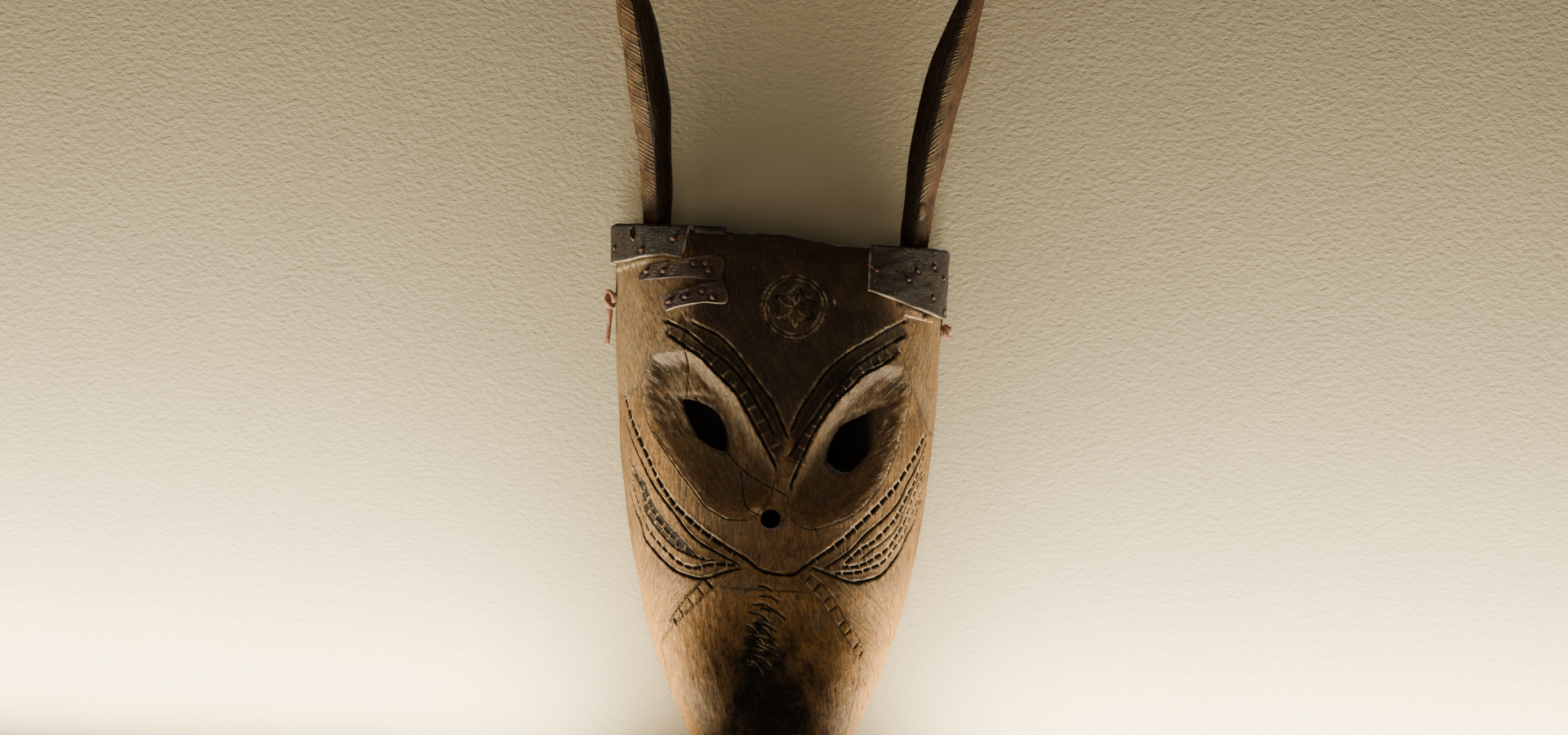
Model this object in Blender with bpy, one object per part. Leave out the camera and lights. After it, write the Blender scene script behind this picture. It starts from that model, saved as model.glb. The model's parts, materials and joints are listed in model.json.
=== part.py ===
"""A horned ox mask, carved in wood, patched with leather and worn on a leather lace.

Metres, +Z up. The face looks towards -Y and its flat back edge lies on y = 0. Left and right are
the viewer's. The origin is on the back edge's plane, midway between the two lace holes.
"""

import math

import bmesh
import bpy
from mathutils import Matrix, Vector

for leftover in list(bpy.data.objects):
    bpy.data.objects.remove(leftover)

# Clearances: between touching solids, and between the curved wood and the leather on it.
GAP = 0.0003
SKIN_GAP = 0.0004

# How far a cutter reaches past what it cuts, and how finely round forms are stepped.
PAST = 0.005
FACE_LEVELS = 26
FACE_SIDES = 30
HOLLOW_LEVELS = 18
HOLLOW_SIDES = 20
CHIN_CLOSENESS = 1.15
SHARP_EDGE = math.radians(35)
SAME_PLACE = 1e-6

# The face's outer form.
FACE_TOP = 0.044
FACE_HEIGHT = 0.312
FACE_HALF_WIDTH = 0.0923
FACE_TAPER = 0.010
FACE_LEAN = -0.028
FACE_SHIFT = -0.0012
OUTLINE_DROP = 3.3
OUTLINE_ROUNDING = 0.60
SECTION_SQUARENESS = 2.5
# (share of the height below the top, how far the face stands out from its back edge there)
FACE_DEPTHS = [
    (0.0, 0.061), (0.14, 0.075), (0.33, 0.087), (0.46, 0.0925), (0.56, 0.095), (0.64, 0.0985),
    (0.72, 0.108), (0.80, 0.118), (0.865, 0.122), (0.93, 0.1175), (0.975, 0.102), (1.0, 0.072),
]

# The hollow behind it.
CROWN = 0.020
SIDE_WALL = 0.010
FRONT_WALL = 0.011
CHIN_WALL = 0.020
HOLLOW_DEPTH = 0.082

# Eye holes: outlines (x, z), read as smooth closed curves. The two were cut by eye and differ.
EYE_LEFT = [
    (-0.0548, -0.0480), (-0.0445, -0.0480), (-0.0350, -0.0520), (-0.0290, -0.0590),
    (-0.0262, -0.0680), (-0.0275, -0.0750), (-0.0385, -0.0712), (-0.0465, -0.0645),
]
EYE_RIGHT = [
    (0.0568, -0.0478), (0.0460, -0.0512), (0.0350, -0.0570), (0.0290, -0.0665),
    (0.0268, -0.0765), (0.0300, -0.0800), (0.0372, -0.0832), (0.0450, -0.0795), (0.0532, -0.0690),
]
EYE_STEP = 0.0045
EYE_CUT_FRONT = -0.115
EYE_CUT_BACK = -0.025
BRIDGE_HOLE = (-0.0012, -0.109)
BRIDGE_HOLE_RADIUS = 0.0053

# Horns: the foot's centre is set in from the face's side edge and forward of the back edge.
HORN_INSET = 0.0215
HORN_FORWARD = 0.024
HORN_HEIGHT = 0.161
HORN_SPLAY = 0.040
HORN_CURVE = 0.95
HORN_REACH_FORWARD = 0.08
HORN_DEPTH_SHARE = 1.15
HORN_RIDGE = 1.35
# (share of the height, width)
HORN_WIDTHS = [
    (0.0, 0.0150), (0.15, 0.0172), (0.32, 0.0198), (0.5, 0.0226), (0.64, 0.0218), (0.78, 0.0182),
    (0.88, 0.0132), (0.95, 0.0078), (1.0, 0.0022),
]
HORN_LEVELS = 14
HORN_SIDES = 14
TENON_RADIUS = 0.0055
TENON_LENGTH = 0.014
HORN_NAIL_RADIUS = 0.00125
HORN_NAIL_HEAD_RADIUS = 0.003
HORN_NAIL_HEAD_HEIGHT = 0.0012
HORN_NAIL_DROP = 0.008
HORN_NAIL_PAST_CENTRE = 0.001

# Leather patches. Each outline's points are (in from the side edge, down from the top), and a
# patch is as deep as its reach goes back over the rim.
LEATHER = 0.0016
OVER_THE_EDGE = -0.012
LEFT_CORNER_PATCH = [
    (OVER_THE_EDGE, OVER_THE_EDGE), (0.0435, OVER_THE_EDGE), (0.0415, -0.001), (0.0385, 0.0165),
    (0.0290, 0.0150), (0.0160, 0.0165), (0.0090, 0.0185), (OVER_THE_EDGE, 0.0210),
]
LEFT_BROW_PATCH = [
    (0.0160, 0.0280), (0.0190, 0.0215), (0.0290, 0.0190), (0.0380, 0.0190), (0.0430, 0.0160),
    (0.0590, 0.0150), (0.0600, 0.0260), (0.0635, 0.0390), (0.0510, 0.0400), (0.0390, 0.0425),
    (0.0310, 0.0450), (0.0290, 0.0380), (0.0380, 0.0325), (0.0460, 0.0280), (0.0410, 0.0262),
    (0.0260, 0.0283),
]
RIGHT_CORNER_PATCH = [
    (OVER_THE_EDGE, OVER_THE_EDGE), (OVER_THE_EDGE, 0.0400), (0.0045, 0.0410), (0.0115, 0.0390),
    (0.0225, 0.0360), (0.0345, 0.0320), (0.0463, 0.0285), (0.0463, OVER_THE_EDGE),
]
RIGHT_SCRAP = [
    (0.0270, 0.0358), (0.0262, 0.0410), (0.0205, 0.0422), (0.0105, 0.0436), (0.0090, 0.0412),
    (0.0185, 0.0384),
]
RIM_STRIP = [(0.0435, OVER_THE_EDGE), (0.0610, OVER_THE_EDGE), (0.0612, 0.0028), (0.0437, 0.0024)]
RIM_STRIP_BACK = 0.028
PATCH_FRONT = 0.12
PATCH_BACK = 0.002
ROUND_THE_HORN = 0.0012

# Tacks and bent nails, in the same edge measures as the patches.
TACK_HEAD_RADIUS = 0.0015
TACK_HEAD_HEIGHT = 0.0009
TACK_SHANK_RADIUS = 0.0006
TACK_LENGTH = 0.0075
LEFT_CORNER_TACKS = [(0.0020, 0.0110), (0.0330, 0.0060), (0.0165, 0.0125)]
LEFT_BROW_TACKS = [
    (0.0200, 0.0240), (0.0290, 0.0235), (0.0450, 0.0190), (0.0510, 0.0185), (0.0530, 0.0225),
    (0.0330, 0.0400), (0.0415, 0.0370), (0.0500, 0.0335), (0.0560, 0.0370),
]
RIGHT_CORNER_TACKS = [
    (0.0200, 0.0130), (0.0110, 0.0090), (0.0050, 0.0165), (0.0110, 0.0300), (0.0040, 0.0370),
    (0.0250, 0.0195),
]
SCRAP_TACKS = [(0.0150, 0.0412)]
RIM_TACK = (0.0520, 0.0380)
NAIL_RADIUS = 0.0009
NAIL_DEPTH = 0.010
TACK_POINT = 0.001
HOLE_PAST = 0.006
LEFT_NAIL = (0.0120, 0.0070)
LEFT_NAIL_TURN = -60
LEFT_NAIL_LYING = 0.006
RIGHT_NAIL = (0.0420, 0.0160)
RIGHT_NAIL_TURN = -43
RIGHT_NAIL_LYING = 0.0085

# Lace, its knots and the free end that swings below the left one.
LACE_RADIUS = 0.0016
LACE_HOLE_RADIUS = 0.0028
LACE_HOLE_FORWARD = 0.018
LEFT_HOLE_HEIGHT = 0.0045
RIGHT_HOLE_HEIGHT = -0.004
LEFT_KNOT = (0.0030, 0.0035, 0.0050)
RIGHT_KNOT = (0.0026, 0.0036, 0.0038)
LACE_END_LENGTH = 0.0205
LACE_ROUTE = [
    (-0.0918, -0.0180, 0.0045), (-0.0860, -0.0180, 0.0045), (-0.0800, -0.0178, 0.0036),
    (-0.0762, -0.0172, -0.0010), (-0.0746, -0.0165, -0.0085), (-0.0715, -0.0145, -0.0300),
    (-0.0625, -0.0120, -0.0600), (-0.0515, -0.0105, -0.0850), (-0.0390, -0.0095, -0.1050),
    (-0.0235, -0.0090, -0.1200), (0.0000, -0.0088, -0.1280), (0.0235, -0.0090, -0.1210),
    (0.0390, -0.0095, -0.1070), (0.0515, -0.0105, -0.0880), (0.0625, -0.0120, -0.0640),
    (0.0700, -0.0145, -0.0370), (0.0722, -0.0165, -0.0190), (0.0738, -0.0176, -0.0100),
    (0.0776, -0.0180, -0.0052), (0.0830, -0.0180, -0.0040), (0.0886, -0.0180, -0.0040),
]
LACE_STEP = 0.0068


# Curves and forms


def smooth_through(points):
    """A curve y(x) through the points that rises and falls only where they do."""
    xs = [x for x, _ in points]
    ys = [y for _, y in points]
    steps = [b - a for a, b in zip(xs, xs[1:])]
    slopes = [(b - a) / step for a, b, step in zip(ys, ys[1:], steps)]
    tangents = [slopes[0]]
    for before, after, short, long in zip(slopes, slopes[1:], steps, steps[1:]):
        if before * after <= 0:
            tangents.append(0.0)
            continue
        near = 2 * long + short
        far = long + 2 * short
        tangents.append((near + far) / (near / before + far / after))
    tangents.append(slopes[-1])

    def value(x):
        x = min(max(x, xs[0]), xs[-1])
        i = max(k for k in range(len(steps)) if xs[k] <= x)
        t = (x - xs[i]) / steps[i]
        start = ys[i] * (1 + 2 * t) * (1 - t) ** 2 + tangents[i] * steps[i] * t * (1 - t) ** 2
        end = ys[i + 1] * t * t * (3 - 2 * t) + tangents[i + 1] * steps[i] * t * t * (t - 1)
        return start + end

    return value


def rounded_route(points, step, closed=False):
    """Points every step along the Catmull-Rom curve through the given ones."""
    points = [Vector(p) for p in points]
    if closed:
        points = [points[-1], *points, points[0], points[1]]
    else:
        points = [2 * points[0] - points[1], *points, 2 * points[-1] - points[-2]]
    route = []
    for a, b, c, d in zip(points, points[1:], points[2:], points[3:]):
        pieces = max(1, round((c - b).length / step))
        for i in range(pieces):
            t = i / pieces
            bend = (2 * a - 5 * b + 4 * c - d) * t * t + (3 * b - a - 3 * c + d) * t ** 3
            route.append((2 * b + (c - a) * t + bend) / 2)
    if not closed:
        route.append(points[-2])
    return route


def signed_power(value, power):
    return math.copysign(abs(value) ** power, value)


face_depth = smooth_through(FACE_DEPTHS)


def middle(z):
    """The face's centre line leans a little to one side."""
    return FACE_SHIFT + FACE_LEAN * z


def outline_share(drop):
    """How much of its width an outline keeps at this share of its height below the top."""
    return (1 - min(max(drop, 0.0), 1.0) ** OUTLINE_DROP) ** OUTLINE_ROUNDING


def outer_half_width(z):
    drop = (FACE_TOP - z) / FACE_HEIGHT
    return (FACE_HALF_WIDTH - FACE_TAPER * drop) * outline_share(drop)


def outer_depth(z):
    return face_depth((FACE_TOP - z) / FACE_HEIGHT)


def hollow_half_width(z):
    top = FACE_TOP - CROWN
    drop = (top - z) / (FACE_HEIGHT - CROWN - CHIN_WALL)
    return (FACE_HALF_WIDTH - SIDE_WALL - FACE_TAPER * drop) * outline_share(drop)


def hollow_depth(z):
    return min(outer_depth(z) - FRONT_WALL, HOLLOW_DEPTH)


def half_round(z, half_width, depth, back, sides):
    """One level of a face-like form: a squarish half round in front and a straight back."""
    power = 2 / SECTION_SQUARENESS
    ring = [Vector((middle(z) + half_width, back, z))] if back > 0 else []
    for i in range(sides + 1):
        angle = math.pi * i / sides
        x = middle(z) + half_width * signed_power(math.cos(angle), power)
        ring.append(Vector((x, -depth * signed_power(math.sin(angle), power), z)))
    if back > 0:
        ring.append(Vector((middle(z) - half_width, back, z)))
    return ring


def levels(top, height, count):
    """Heights from top to bottom, closer together towards the rounded chin."""
    return [
        top - height * math.sin(math.pi / 2 * i / count) ** CHIN_CLOSENESS for i in range(count + 1)
    ]


def surface_y(x, z):
    """The outer form's front at x, z."""
    across = min(abs(x - middle(z)) / outer_half_width(z), 1.0)
    share = (1 - across ** SECTION_SQUARENESS) ** (1 / SECTION_SQUARENESS)
    return -outer_depth(z) * share


def side_x(side, y, z):
    """The outer form's side at y, z."""
    share = (1 - abs(y / outer_depth(z)) ** SECTION_SQUARENESS) ** (1 / SECTION_SQUARENESS)
    return middle(z) + side * outer_half_width(z) * share


def outward(point):
    """The outer form's normal near a point on it."""
    def level(x, y, z):
        across = abs(x - middle(z)) / outer_half_width(z)
        return across ** SECTION_SQUARENESS + abs(y / outer_depth(z)) ** SECTION_SQUARENESS

    small = 1e-5
    slopes = []
    for axis in range(3):
        ahead = Vector(point)
        behind = Vector(point)
        ahead[axis] += small
        behind[axis] -= small
        slopes.append(level(*ahead) - level(*behind))
    return Vector(slopes).normalized()


def from_edge(side, inward, down):
    """x, z of a point measured in from the side edge at the top and down from the top."""
    return side * (FACE_HALF_WIDTH - inward) + FACE_SHIFT, FACE_TOP - down


def on_front(side, inward, down):
    x, z = from_edge(side, inward, down)
    point = Vector((x, surface_y(x, z), z))
    return point, outward(point)


# Making meshes


def material(name, colour, roughness, metallic=0.0):
    finish = bpy.data.materials.new(name)
    finish.use_nodes = True
    shader = finish.node_tree.nodes["Principled BSDF"]
    shader.inputs["Base Color"].default_value = (*colour, 1.0)
    shader.inputs["Roughness"].default_value = roughness
    shader.inputs["Metallic"].default_value = metallic
    return finish


def add_mesh(name, bm, finish=None):
    bmesh.ops.remove_doubles(bm, verts=bm.verts, dist=SAME_PLACE)
    bmesh.ops.recalc_face_normals(bm, faces=bm.faces)
    if bm.calc_volume(signed=True) < 0:
        bmesh.ops.reverse_faces(bm, faces=bm.faces)
    mesh = bpy.data.meshes.new(name)
    bm.to_mesh(mesh)
    bm.free()
    mesh.shade_smooth()
    mesh.set_sharp_from_angle(angle=SHARP_EDGE)
    obj = bpy.data.objects.new(name, mesh)
    bpy.context.scene.collection.objects.link(obj)
    if finish:
        mesh.materials.append(finish)
    return obj


def skin_rings(bm, rings, cap_start=True, cap_end=True):
    """Quads between closed rings of equally many points, with a face over each open end."""
    rows = [[bm.verts.new(point) for point in ring] for ring in rings]
    for upper, lower in zip(rows, rows[1:]):
        for i in range(len(upper)):
            j = (i + 1) % len(upper)
            bm.faces.new((upper[i], lower[i], lower[j], upper[j]))
    if cap_start:
        bm.faces.new(rows[0])
    if cap_end:
        bm.faces.new(rows[-1])


def face_form(name, offset=0.0, back=0.0, finish=None):
    """The face's outer form as one solid, grown by offset on every side but its back."""
    bm = bmesh.new()
    rings = []
    for z in levels(FACE_TOP, FACE_HEIGHT, FACE_LEVELS):
        lift = offset if z == FACE_TOP else 0.0
        size = outer_half_width(z) + offset, outer_depth(z) + offset
        ring = half_round(z, *size, back, FACE_SIDES)
        rings.append([point + Vector((0, 0, lift)) for point in ring])
    skin_rings(bm, rings, cap_end=offset > 0)
    return add_mesh(name, bm, finish)


def as_cutter(obj):
    obj.hide_render = True
    obj.display_type = "WIRE"
    return obj


def boolean(obj, other, operation="DIFFERENCE"):
    modifier = obj.modifiers.new(operation.lower(), "BOOLEAN")
    modifier.operation = operation
    modifier.object = other


def prism(name, outline, front, back):
    """An outline of (x, z) points carried from y = front to y = back."""
    bm = bmesh.new()
    skin_rings(bm, [[Vector((x, y, z)) for x, z in outline] for y in (front, back)])
    return as_cutter(add_mesh(name, bm))


def add_pin(bm, start, direction, radius, length, sides):
    """A round pin inside bm, from start along direction."""
    turn = Vector((0, 0, 1)).rotation_difference(direction).to_matrix().to_4x4()
    place = Matrix.Translation(start + direction.normalized() * length / 2) @ turn
    bmesh.ops.create_cone(
        bm, cap_ends=True, segments=sides, radius1=radius, radius2=radius, depth=length, matrix=place
    )


def add_turned(bm, start, direction, profile, sides):
    """A turned shape: profile gives (radius, distance along direction) from end to end."""
    turn = Vector((0, 0, 1)).rotation_difference(direction)
    rings = []
    for radius, along in profile:
        ring = []
        for i in range(sides):
            angle = 2 * math.pi * i / sides
            flat = Vector((radius * math.cos(angle), radius * math.sin(angle), along))
            ring.append(start + turn @ flat)
        rings.append(ring)
    skin_rings(bm, rings)


def tube(name, route, radius, finish, origin=(0, 0, 0)):
    """A closed round tube along a route given in world coordinates."""
    curve = bpy.data.curves.new(name, "CURVE")
    curve.dimensions = "3D"
    curve.bevel_depth = radius
    curve.bevel_resolution = 2
    curve.use_fill_caps = True
    spline = curve.splines.new("POLY")
    spline.points.add(len(route) - 1)
    for point, place in zip(spline.points, route):
        point.co = (*(Vector(place) - Vector(origin)), 1.0)
    curve.materials.append(finish)
    obj = bpy.data.objects.new(name, curve)
    obj.location = origin
    bpy.context.scene.collection.objects.link(obj)
    return obj


# Finishes

FACE_WOOD = material("face_wood", (0.16, 0.085, 0.045), 0.62)
HORN_WOOD = material("horn_wood", (0.20, 0.115, 0.05), 0.5)
PATCH_LEATHER = material("patch_leather", (0.022, 0.020, 0.021), 0.55)
LACE_LEATHER = material("lace_leather", (0.42, 0.17, 0.06), 0.7)
IRON = material("old_iron", (0.09, 0.07, 0.06), 0.55, 0.8)


# Horns


def horn_foot(side):
    return Vector((side * (FACE_HALF_WIDTH - HORN_INSET), -HORN_FORWARD, FACE_TOP))


def horn_centre(side, height):
    out = HORN_SPLAY * height + HORN_CURVE * height ** 2
    return horn_foot(side) + Vector((side * out, -HORN_REACH_FORWARD * height, height))


def horn(name, side):
    """Ridged rings along a curve that opens outwards, on a round tenon."""
    width = smooth_through(HORN_WIDTHS)
    rings = []
    for radius, drop in ((TENON_RADIUS, TENON_LENGTH), (TENON_RADIUS, -GAP)):
        ring = []
        for i in range(HORN_SIDES):
            angle = 2 * math.pi * i / HORN_SIDES
            offset = Vector((radius * math.cos(angle), radius * math.sin(angle), -drop))
            ring.append(horn_foot(side) + offset)
        rings.append(ring)
    for i in range(HORN_LEVELS + 1):
        share = math.sin(math.pi / 2 * i / HORN_LEVELS)
        centre = horn_centre(side, GAP + share * (HORN_HEIGHT - GAP))
        half = width(share) / 2
        ring = []
        for k in range(HORN_SIDES):
            angle = 2 * math.pi * k / HORN_SIDES
            across = half * signed_power(math.cos(angle), HORN_RIDGE)
            along = half * HORN_DEPTH_SHARE * signed_power(math.sin(angle), HORN_RIDGE)
            ring.append(centre + Vector((across, along, 0)))
        rings.append(ring)
    bm = bmesh.new()
    skin_rings(bm, rings)
    return add_mesh(name, bm, HORN_WOOD)


def horn_nail_profile(clearance):
    """From the head, just inside the back edge's plane, to the tip in the tenon."""
    head = HORN_NAIL_HEAD_RADIUS + clearance
    shank = HORN_NAIL_RADIUS + clearance
    start = -0.001 if clearance else GAP
    under_head = GAP + HORN_NAIL_HEAD_HEIGHT + clearance
    tip = HORN_FORWARD + HORN_NAIL_PAST_CENTRE + clearance
    return [(head, start), (head, under_head), (shank, under_head), (shank, tip)]


def horn_nail_start(side):
    return Vector((horn_foot(side).x, 0, FACE_TOP - HORN_NAIL_DROP))


# Fasteners on the leather

OVER_LEATHER = SKIN_GAP + LEATHER + GAP


TACK_PROFILE = [
    (TACK_SHANK_RADIUS * 0.4, -TACK_LENGTH), (TACK_SHANK_RADIUS, -TACK_LENGTH + TACK_POINT),
    (TACK_SHANK_RADIUS, OVER_LEATHER), (TACK_HEAD_RADIUS, OVER_LEATHER),
    (TACK_HEAD_RADIUS * 0.8, OVER_LEATHER + TACK_HEAD_HEIGHT * 0.6),
    (TACK_HEAD_RADIUS * 0.35, OVER_LEATHER + TACK_HEAD_HEIGHT),
]


def add_tack_hole(bm, point, normal):
    start = point - normal * (TACK_LENGTH + GAP)
    add_pin(bm, start, normal, TACK_SHANK_RADIUS + GAP, TACK_LENGTH + HOLE_PAST, 6)


def turned_piece(name, profile, sides, point, normal):
    """A turned shape with its own origin, at point, standing along normal."""
    bm = bmesh.new()
    add_turned(bm, Vector((0, 0, 0)), Vector((0, 0, 1)), profile, sides)
    piece = add_mesh(name, bm, IRON)
    piece.location = point
    piece.rotation_mode = "QUATERNION"
    piece.rotation_quaternion = Vector((0, 0, 1)).rotation_difference(normal)
    return piece


def bent_nail(name, point, normal, turn, lying):
    """A nail driven in along the normal, its rest hammered over to lie along the leather."""
    lies_at = OVER_LEATHER + NAIL_RADIUS
    bend = 2 * NAIL_RADIUS
    level = normal.cross(Vector((0, 0, 1))).normalized()
    along = Matrix.Rotation(math.radians(turn), 3, normal) @ level
    route = [point - normal * NAIL_DEPTH, point - normal * NAIL_DEPTH / 2]
    for i in range(4):
        angle = math.pi / 2 * i / 3
        over = bend * (1 - math.cos(angle))
        up = lies_at - bend + bend * math.sin(angle)
        route.append(point + along * over + normal * up)
    for share in (0.5, 1.0):
        route.append(point + along * (bend + (lying - bend) * share) + normal * lies_at)
    return tube(name, route, NAIL_RADIUS, IRON)


def add_nail_hole(bm, point, normal):
    start = point - normal * (NAIL_DEPTH + 2 * GAP)
    add_pin(bm, start, normal, NAIL_RADIUS + GAP, NAIL_DEPTH + HOLE_PAST, 8)


# Where the fasteners go

tacks = {}
for group, side, places in (
    ("left_corner", -1, LEFT_CORNER_TACKS),
    ("left_brow", -1, LEFT_BROW_TACKS),
    ("right_corner", 1, RIGHT_CORNER_TACKS),
    ("right_scrap", 1, SCRAP_TACKS),
):
    for number, place in enumerate(places, 1):
        tacks[f"tack_{group}_{number}"] = on_front(side, *place)
rim_x, _ = from_edge(-1, RIM_TACK[0], 0)
tacks["tack_rim_strip"] = Vector((rim_x, -RIM_TACK[1], FACE_TOP)), Vector((0, 0, 1))
left_nail = on_front(-1, *LEFT_NAIL)
right_nail = on_front(1, *RIGHT_NAIL)

holes = bmesh.new()
for spot, spot_normal in tacks.values():
    add_tack_hole(holes, spot, spot_normal)
for spot, spot_normal in (left_nail, right_nail):
    add_nail_hole(holes, spot, spot_normal)
fastener_holes = as_cutter(add_mesh("fastener_holes", holes))


# Face

face = face_form("face_shell", finish=FACE_WOOD)

bm_hollow = bmesh.new()
hollow_rings = []
for height in levels(FACE_TOP - CROWN, FACE_HEIGHT - CROWN - CHIN_WALL, HOLLOW_LEVELS):
    size = hollow_half_width(height), hollow_depth(height)
    hollow_rings.append(half_round(height, *size, back=PAST, sides=HOLLOW_SIDES))
skin_rings(bm_hollow, hollow_rings, cap_end=False)
boolean(face, as_cutter(add_mesh("hollow", bm_hollow)))

for eye, outline_points in (("left", EYE_LEFT), ("right", EYE_RIGHT)):
    corners = [(x, z, 0) for x, z in outline_points]
    outline = [(p.x, p.y) for p in rounded_route(corners, EYE_STEP, closed=True)]
    boolean(face, prism(f"eye_cut_{eye}", outline, EYE_CUT_FRONT, EYE_CUT_BACK))

openings = bmesh.new()
bridge_start = Vector((BRIDGE_HOLE[0], -HOLLOW_DEPTH + 2 * PAST, BRIDGE_HOLE[1]))
add_pin(openings, bridge_start, Vector((0, -1, 0)), BRIDGE_HOLE_RADIUS, 8 * PAST, 14)
for side, hole_height in ((-1, LEFT_HOLE_HEIGHT), (1, RIGHT_HOLE_HEIGHT)):
    inside = Vector((side * (FACE_HALF_WIDTH - 2 * SIDE_WALL), -LACE_HOLE_FORWARD, hole_height))
    add_pin(openings, inside, Vector((side, 0, 0)), LACE_HOLE_RADIUS, 3 * SIDE_WALL, 10)
    mortise = horn_foot(side) - Vector((0, 0, TENON_LENGTH + GAP))
    mortise_length = TENON_LENGTH + 2 * PAST
    add_pin(openings, mortise, Vector((0, 0, 1)), TENON_RADIUS + GAP, mortise_length, HORN_SIDES)
boolean(face, as_cutter(add_mesh("bored_holes", openings)))

nail_cuts = bmesh.new()
for side in (-1, 1):
    add_turned(nail_cuts, horn_nail_start(side), Vector((0, -1, 0)), horn_nail_profile(GAP), 10)
horn_nail_cuts = as_cutter(add_mesh("horn_nail_cuts", nail_cuts))
boolean(face, horn_nail_cuts)
boolean(face, fastener_holes)


# Horns and their hidden nails

for side_name, side in (("left", -1), ("right", 1)):
    boolean(horn(f"horn_{side_name}", side), horn_nail_cuts)
    start = horn_nail_start(side)
    turned_piece(f"horn_nail_{side_name}", horn_nail_profile(0.0), 10, start, Vector((0, -1, 0)))


# Leather patches: each outline's prism, cut to the thin layer just over the wood

outside_leather = as_cutter(face_form("outside_leather", SKIN_GAP + LEATHER))
under_leather = as_cutter(face_form("under_leather", SKIN_GAP, back=PAST))
horn_feet = bmesh.new()
for side in (-1, 1):
    reach = HORN_WIDTHS[0][1] / 2 * HORN_DEPTH_SHARE + ROUND_THE_HORN
    add_pin(horn_feet, horn_foot(side), Vector((0, 0, 1)), reach, 2 * PAST, 20)
horn_feet_cut = as_cutter(add_mesh("horn_feet_cut", horn_feet))


def patch(name, side, outline, back=PATCH_BACK):
    bm = bmesh.new()
    corners = [from_edge(side, *point) for point in outline]
    skin_rings(bm, [[Vector((x, y, z)) for x, z in corners] for y in (-PATCH_FRONT, -back)])
    leather = add_mesh(name, bm, PATCH_LEATHER)
    boolean(leather, outside_leather, "INTERSECT")
    boolean(leather, under_leather)
    boolean(leather, horn_feet_cut)
    boolean(leather, fastener_holes)


patch("patch_left_corner", -1, LEFT_CORNER_PATCH)
patch("patch_left_brow", -1, LEFT_BROW_PATCH)
patch("patch_right_corner", 1, RIGHT_CORNER_PATCH)
patch("patch_right_scrap", 1, RIGHT_SCRAP)
patch("rim_strip", -1, RIM_STRIP, RIM_STRIP_BACK)

for tack_name, (spot, spot_normal) in tacks.items():
    turned_piece(tack_name, TACK_PROFILE, 8, spot, spot_normal)
bent_nail("nail_left", *left_nail, LEFT_NAIL_TURN, LEFT_NAIL_LYING)
bent_nail("nail_right", *right_nail, RIGHT_NAIL_TURN, RIGHT_NAIL_LYING)


# Lace


def knot(name, side, height, radii):
    """A lump of leather just outside its hole. Returns its centre."""
    edge = side_x(side, -LACE_HOLE_FORWARD + radii[1], height)
    centre = Vector((edge + side * (GAP + radii[0]), -LACE_HOLE_FORWARD, height))
    bm = bmesh.new()
    place = Matrix.Translation(centre) @ Matrix.Diagonal((*radii, 1.0))
    bmesh.ops.create_uvsphere(bm, u_segments=12, v_segments=8, radius=1.0, matrix=place)
    add_mesh(name, bm, LACE_LEATHER)
    return centre


left_centre = knot("knot_left", -1, LEFT_HOLE_HEIGHT, LEFT_KNOT)
knot("knot_right", 1, RIGHT_HOLE_HEIGHT, RIGHT_KNOT)
tube("lace", rounded_route(LACE_ROUTE, LACE_STEP), LACE_RADIUS, LACE_LEATHER)

end_top = left_centre - Vector((0, 0, LEFT_KNOT[2] + GAP))
end_route = [end_top - Vector((0, 0, LACE_END_LENGTH * i / 4)) for i in range(5)]
tube("lace_end", end_route, LACE_RADIUS, LACE_LEATHER, origin=left_centre)
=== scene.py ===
# %% [markdown]
# # A carved ox mask
# The mask is one block of wood, hollowed from behind, with two horns set into its crown, black
# leather nailed over the places where it was mended, and a leather lace to wear it by.
# The frame holds its true sizes. Here every piece gets the surface that knife, gouge, soot and
# years of hands gave it. Lengths are in metres, and MM turns millimetres into metres.

# %% The frame
import json
import math

import bpy
import numpy as np
from mathutils import Matrix, Vector

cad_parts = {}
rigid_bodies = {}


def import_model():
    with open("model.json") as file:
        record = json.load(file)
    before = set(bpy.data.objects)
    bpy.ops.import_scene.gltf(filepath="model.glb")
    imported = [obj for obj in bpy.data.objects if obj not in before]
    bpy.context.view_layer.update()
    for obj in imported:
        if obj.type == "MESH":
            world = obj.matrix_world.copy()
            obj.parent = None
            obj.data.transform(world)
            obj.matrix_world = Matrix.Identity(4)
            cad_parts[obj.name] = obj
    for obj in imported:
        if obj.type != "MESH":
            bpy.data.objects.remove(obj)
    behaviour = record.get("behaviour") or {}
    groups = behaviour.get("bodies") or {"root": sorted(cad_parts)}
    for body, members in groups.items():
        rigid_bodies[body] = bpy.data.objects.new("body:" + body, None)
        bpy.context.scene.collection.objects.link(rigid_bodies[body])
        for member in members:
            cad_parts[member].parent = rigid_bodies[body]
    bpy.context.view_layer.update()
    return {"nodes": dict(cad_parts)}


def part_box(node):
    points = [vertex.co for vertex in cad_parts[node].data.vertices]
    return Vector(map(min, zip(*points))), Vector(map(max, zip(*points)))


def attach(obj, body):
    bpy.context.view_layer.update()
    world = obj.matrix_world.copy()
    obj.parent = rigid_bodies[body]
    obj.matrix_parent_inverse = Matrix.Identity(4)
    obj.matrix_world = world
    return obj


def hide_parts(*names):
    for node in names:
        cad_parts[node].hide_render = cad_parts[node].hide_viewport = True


for leftover in list(bpy.data.objects):
    bpy.data.objects.remove(leftover)
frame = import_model()
MM = 0.001
print("the frame holds", len(frame["nodes"]), "nodes")

# %% [markdown]
# ## The camera
# The mask hangs turned a little clockwise, so the camera is rolled by the same few degrees. It
# stands far back and level with the brow, which keeps the horns from leaning apart.

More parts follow.
